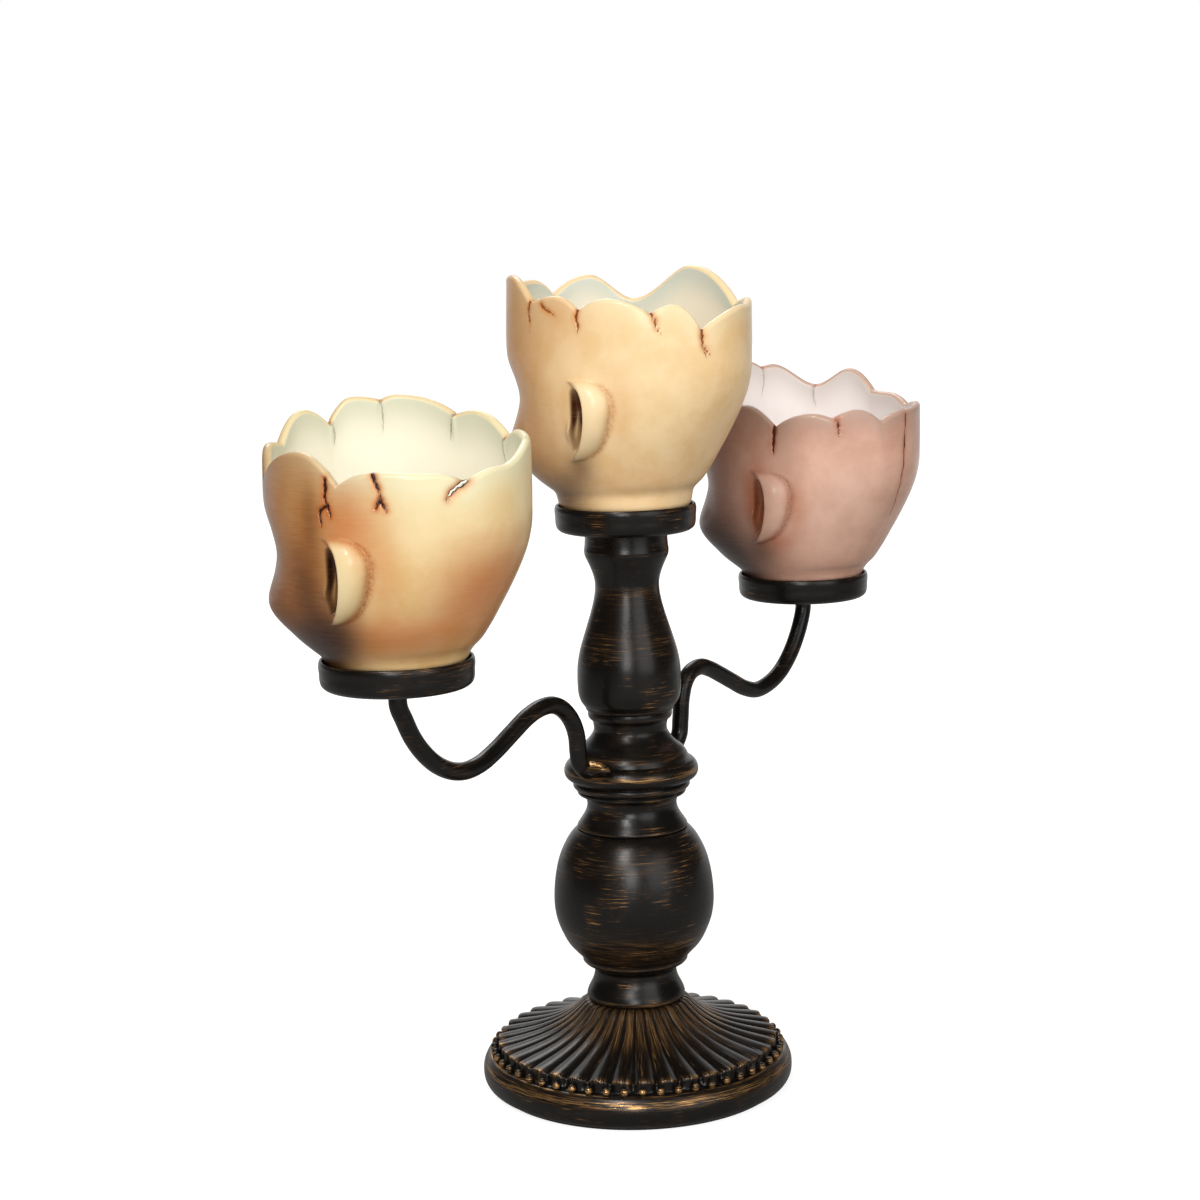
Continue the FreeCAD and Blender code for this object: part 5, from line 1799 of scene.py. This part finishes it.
        mesh = bpy.data.meshes.new("floor")
        half = self.floor_half
        corners = [(-half, -half, 0), (half, -half, 0), (half, half, 0), (-half, half, 0)]
        mesh.from_pydata(corners, [], [(0, 1, 2, 3)])
        mesh.materials.append(material)
        floor = add_object("floor", mesh)

    def build(self) -> None:
        """Set the camera, the lamps, the world and the floor."""
        self.set_camera()
        for lamp in self.lamps:
            lamp.hang()
        self.set_world()
        self.lay_floor()
        bpy.context.scene.view_settings.view_transform = "Standard"


CREAM = DollGlaze(
    "varnished_resin_cream", "head_cream", skin="#eacd95", deep="#e0bd7f", blush="#c4692c",
    wash="#99561c", shade="#2b1206", inside="#eee7d3", rim="#e0d6ae", edge="#c6c6ac")
BEIGE = DollGlaze(
    "varnished_resin_beige", "head_beige", skin="#efd0a0", deep="#e6c18a", blush="#cb8443",
    wash="#b57635", shade="#46200d", inside="#ede2cc", rim="#ead5aa", edge="#bfc5b8",
    crack="#8a4318")
MAUVE = DollGlaze(
    "varnished_resin_mauve", "head_mauve", skin="#e6b9a2", deep="#d9a992", blush="#c0642c",
    wash="#7c442a", shade="#26140c", inside="#f3ebe7", rim="#bfa999", edge="#cdc3bc",
    crack="#4a2417")

HEADS = (
    DollHead(Side.LEFT, CREAM, 1.2, (
        (15, 93.5, NOTCH), (30, 95, TOP), (48, 82, NOTCH), (86, 94.8, TOP), (109.8, 81.5, NOTCH),
        (128, 87, TOP), (150, 86.4, TOP), (163.2, 82.5, NOTCH), (178, 87.6, TOP), (204, 96.5, TOP),
        (212, 97.0, NOTCH), (224, 98.6, TOP), (236, 94.2, NOTCH), (262, 105.2, TOP),
        (275.5, 103.4, NOTCH), (309, 112, TOP), (317.8, 109.8, NOTCH), (331, 111.6, TOP),
        (343.8, 100, NOTCH), (358, 107.0, TOP)),
        (Crack(((103.5, 84.0), (103.5, 79.5), (103.0, 76.5), (104.5, 72.0)), 1.5),
         Crack(((104.2, 73.0), (99.8, 70.0), (100.0, 67.0), (101.0, 63.5)), 1.2),
         Crack(((104.5, 72.5), (105.5, 70.0), (106.5, 67.5)), 1.0),
         Crack(((127.0, 86.8), (128.0, 83.5), (129.5, 80.0), (130.0, 75.0)), 1.4),
         Crack(((130.0, 75.8), (128.5, 73.5), (128.0, 71.0)), 1.3),
         Crack(((130.0, 75.5), (131.5, 73.0), (132.7, 70.2)), 1.3),
         Crack(((163.3, 82.8), (161.0, 81.4), (158.0, 79.2), (156.0, 76.6), (155.3, 73.6)), 2.2,
               CrackKind.OPEN),
         Crack(((318.0, 109.6), (317.0, 103.5), (317.0, 94.0)), 1.1, CrackKind.THROUGH),
         Crack(((275.5, 103.2), (277.5, 98.0), (279.0, 91.0)), 1.3, CrackKind.THROUGH),
         Crack(((343.6, 99.8), (342.0, 96.0), (342.0, 90.0)), 1.1, CrackKind.THROUGH),
         Crack(((236.0, 94.0), (236.5, 90.0), (235.5, 84.0)), 1.0, CrackKind.THROUGH)),
        {"wash": spots((54, 42, 70, 60, 1.7), (70, 30, 24, 26, 1.5), (130, 60, 10, 8, 0.6),
                       (92, 9, 64, 22, 0.6), (90, 12, 42, 22, 0.8)),
         # The shade spots low under the ear and along the jaw are painted shadow as well as dark
         # paint.
         "shade": spots((97, 15, 16, 9, 1.3), (82, 16, 12, 8, 1.6), (64, 26, 4, 9, 3.0),
                        (86, 10, 34, 18, 0.8), (48, 18, 46, 15, 0.65), (60, 24, 24, 10, 0.5),
                        (44, 14, 82, 18, 0.5), (94, 5, 66, 14, 0.4)),
         "pale": spots((150, 34, 78, 24, 0.65)),
         "blush": spots((113, 15, 64, 16, 1.1), (130, 8, 42, 18, 0.4), (176, 22, 34, 20, 1.2),
                        (132, 44, 16, 9, 0.9))},
        ear=Ear(rust=0.8)),
    DollHead(Side.CENTRE, BEIGE, 0.0, (
        (18, 106, NOTCH), (50, 111.4, TOP), (75.8, 98.8, NOTCH), (93, 102, TOP), (108.2, 95, NOTCH),
        (123, 100.6, TOP), (143, 93.2, NOTCH), (153, 97.3, TOP), (164.2, 85.2, NOTCH),
        (192, 96.2, TOP), (208, 98.6, TOP), (227, 95.0, NOTCH), (265, 113.6, TOP), (303, 97.6, TOP),
        (327, 109.6, TOP), (347.5, 100.4, NOTCH), (2, 108.0, TOP)),
        (Crack(((75.3, 99.5), (74.0, 94.5), (75.0, 90.0), (75.0, 85.0)), 1.0),
         Crack(((84.0, 98.6), (87.5, 95.8), (90.5, 94.6), (95.0, 92.6)), 0.9),
         Crack(((107.9, 95.5), (107.0, 91.5), (108.0, 88.5), (107.5, 84.5)), 1.0),
         Crack(((143.0, 93.8), (144.5, 90.0), (145.0, 87.0), (147.2, 83.6)), 0.9),
         Crack(((164.0, 85.8), (164.0, 80.0), (164.6, 76.0), (165.6, 72.4)), 0.9),
         Crack(((164.4, 77.5), (166.0, 75.6), (167.6, 73.6)), 0.7)),
        {"wash": spots((46, 34, 60, 62, 1.4), (70, 20, 22, 20, 0.35), (190, 24, 45, 60, 0.15)),
         # These shade spots under the ear and along the jaw are painted shadow as well as dark paint.
         "shade": spots((101, 9, 17, 7, 0.7), (72, 24, 1, 7, 1.2), (88, 12, 10, 6, 0.5)),
         "blush": spots((130, 44, 10, 8, 0.25), (96, 16, 92, 13, 0.4), (128, 6, 44, 16, 0.25)),
         "pale": spots((140, 30, 60, 30, 0.3))},
        rise=3.8),
    DollHead(Side.RIGHT, MAUVE, -4.6, (
        (5, 103, NOTCH), (28, 108, TOP), (52, 97, NOTCH), (72, 103, TOP), (84, 92, NOTCH),
        (96, 93, TOP), (116.2, 82.2, NOTCH), (135, 89, TOP), (145.5, 86.6, NOTCH), (157, 90.6, TOP),
        (168, 84.5, NOTCH), (184, 89.2, TOP), (206, 91.4, TOP), (227, 88.4, NOTCH),
        (246, 93.8, TOP), (259.5, 94.5, NOTCH), (278, 105.8, TOP), (301.2, 97, TOP),
        (327, 108.2, TOP), (334.2, 107, NOTCH), (346, 111, TOP)),
        (Crack(((116.0, 82.6), (115.5, 77.5), (115.0, 72.0), (115.0, 67.5)), 1.6),
         Crack(((147.3, 86.0), (148.0, 82.0), (148.0, 77.0)), 0.9),
         Crack(((182.5, 87.0), (181.0, 70.5), (181.5, 52.0), (185.0, 34.0)), 0.5),
         Crack(((208.0, 84.0), (209.0, 76.0), (211.0, 68.0)), 0.8),
         Crack(((301.2, 96.5), (302.0, 91.0), (300.5, 84.0)), 1.1, CrackKind.THROUGH),
         Crack(((334.2, 106.5), (333.6, 99.0), (335.0, 90.0)), 0.9, CrackKind.THROUGH)),
        {"wash": spots((52, 36, 50, 70, 1.7), (194, 24, 50, 70, 0.45), (130, 70, 84, 14, 0.35),
                       (130, 60, 4, 13, 0.4)),
         # These shade spots under the ear and along the jaw are painted shadow as well as dark paint.
         "shade": spots((100, 10, 17, 8, 0.6), (60, 28, 8, 22, 2.6)),
         "blush": spots((103, 7, 40, 16, 1.6), (112, 12, 22, 6, 0.5), (127, 5, 42, 12, 0.4)),
         "pale": spots((150, 26, 46, 30, 0.25))},
        # The right ear's hollow takes less painted shade, and its fold less painted highlight.
        ear=Ear(dark=0.5, rust=0.55, pale=0.15)),
)

ARMS = (
    Arm(Side.LEFT, (
        (158.8, 226.8), (158.9, 218.0), (155.7, 211.3), (151.5, 203.3), (144.9, 194.8),
        (134.2, 186.1), (124.0, 181.9), (118.7, 181.1), (108.0, 182.4), (97.0, 186.9),
        (85.8, 193.0), (74.5, 198.9), (68.8, 200.8), (63.1, 201.7), (57.4, 201.5), (51.7, 199.3),
        (46.6, 195.2), (43.0, 190.4), (40.2, 183.0), (39.6, 176.0), (38.4, 169.6), (34.0, 165.4),
        (28.0, 164.8), (22.0, 165.4))),
    Arm(Side.RIGHT, (
        (146.7, 226.8), (146.5, 220.4), (143.8, 212.6), (140.9, 207.0), (133.2, 196.4),
        (124.5, 188.9), (114.2, 184.3), (103.5, 182.8), (93.1, 185.6), (82.9, 190.7),
        (72.9, 195.9), (63.0, 200.6), (58.0, 202.2), (53.1, 202.2), (48.1, 200.6), (43.6, 196.0),
        (41.0, 189.0), (39.6, 178.0), (38.2, 170.0), (34.0, 165.4), (28.0, 164.8), (22.0, 165.4))),
)


def dress_nodes(nodes: dict[str, bpy.types.Object], names: tuple[str, ...],
                material: bpy.types.Material) -> None:
    """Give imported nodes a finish.

    Args:
        nodes: the frame's nodes by name.
        names: the nodes to dress.
        material: their finish.
    """
    for name in names:
        mesh = nodes[name].data
        mesh.materials.clear()
        mesh.materials.append(material)
        LOG.info("%s: dressed as it is", name)


def main() -> None:
    """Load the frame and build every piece."""
    logging.basicConfig(level=logging.INFO, format="%(name)s: %(message)s")
    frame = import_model()
    bronze = RubbedBronze()
    turned = bronze.material("rubbed_bronze_turned", streaks=0.9, way=BrushWay.LEVEL)
    ribbed = bronze.material("rubbed_bronze_ribbed", streaks=0.55, way=BrushWay.RADIAL)
    bent = bronze.material("rubbed_bronze_bent", streaks=0.5, way=BrushWay.LEVEL)
    Studio().build()
    Stem().build(turned)
    foot = Foot()
    foot.build_casting(ribbed)
    foot.build_beads(turned)
    for pan in PANS.values():
        pan.build(turned)
    for arm in ARMS:
        arm.build(bent)
    for head in HEADS:
        head.build()
    dress_nodes(frame["nodes"], (
        "centre_rod", "foot_nut", "foot_washer", "top_nut", "top_washer", "insert_left",
        "insert_right", "pan_screw_left", "pan_screw_right"), PlatedSteel().material())
    dress_nodes(frame["nodes"], ("foot_felt",), PressedFelt().material())


if __name__ == "__main__":
    main()
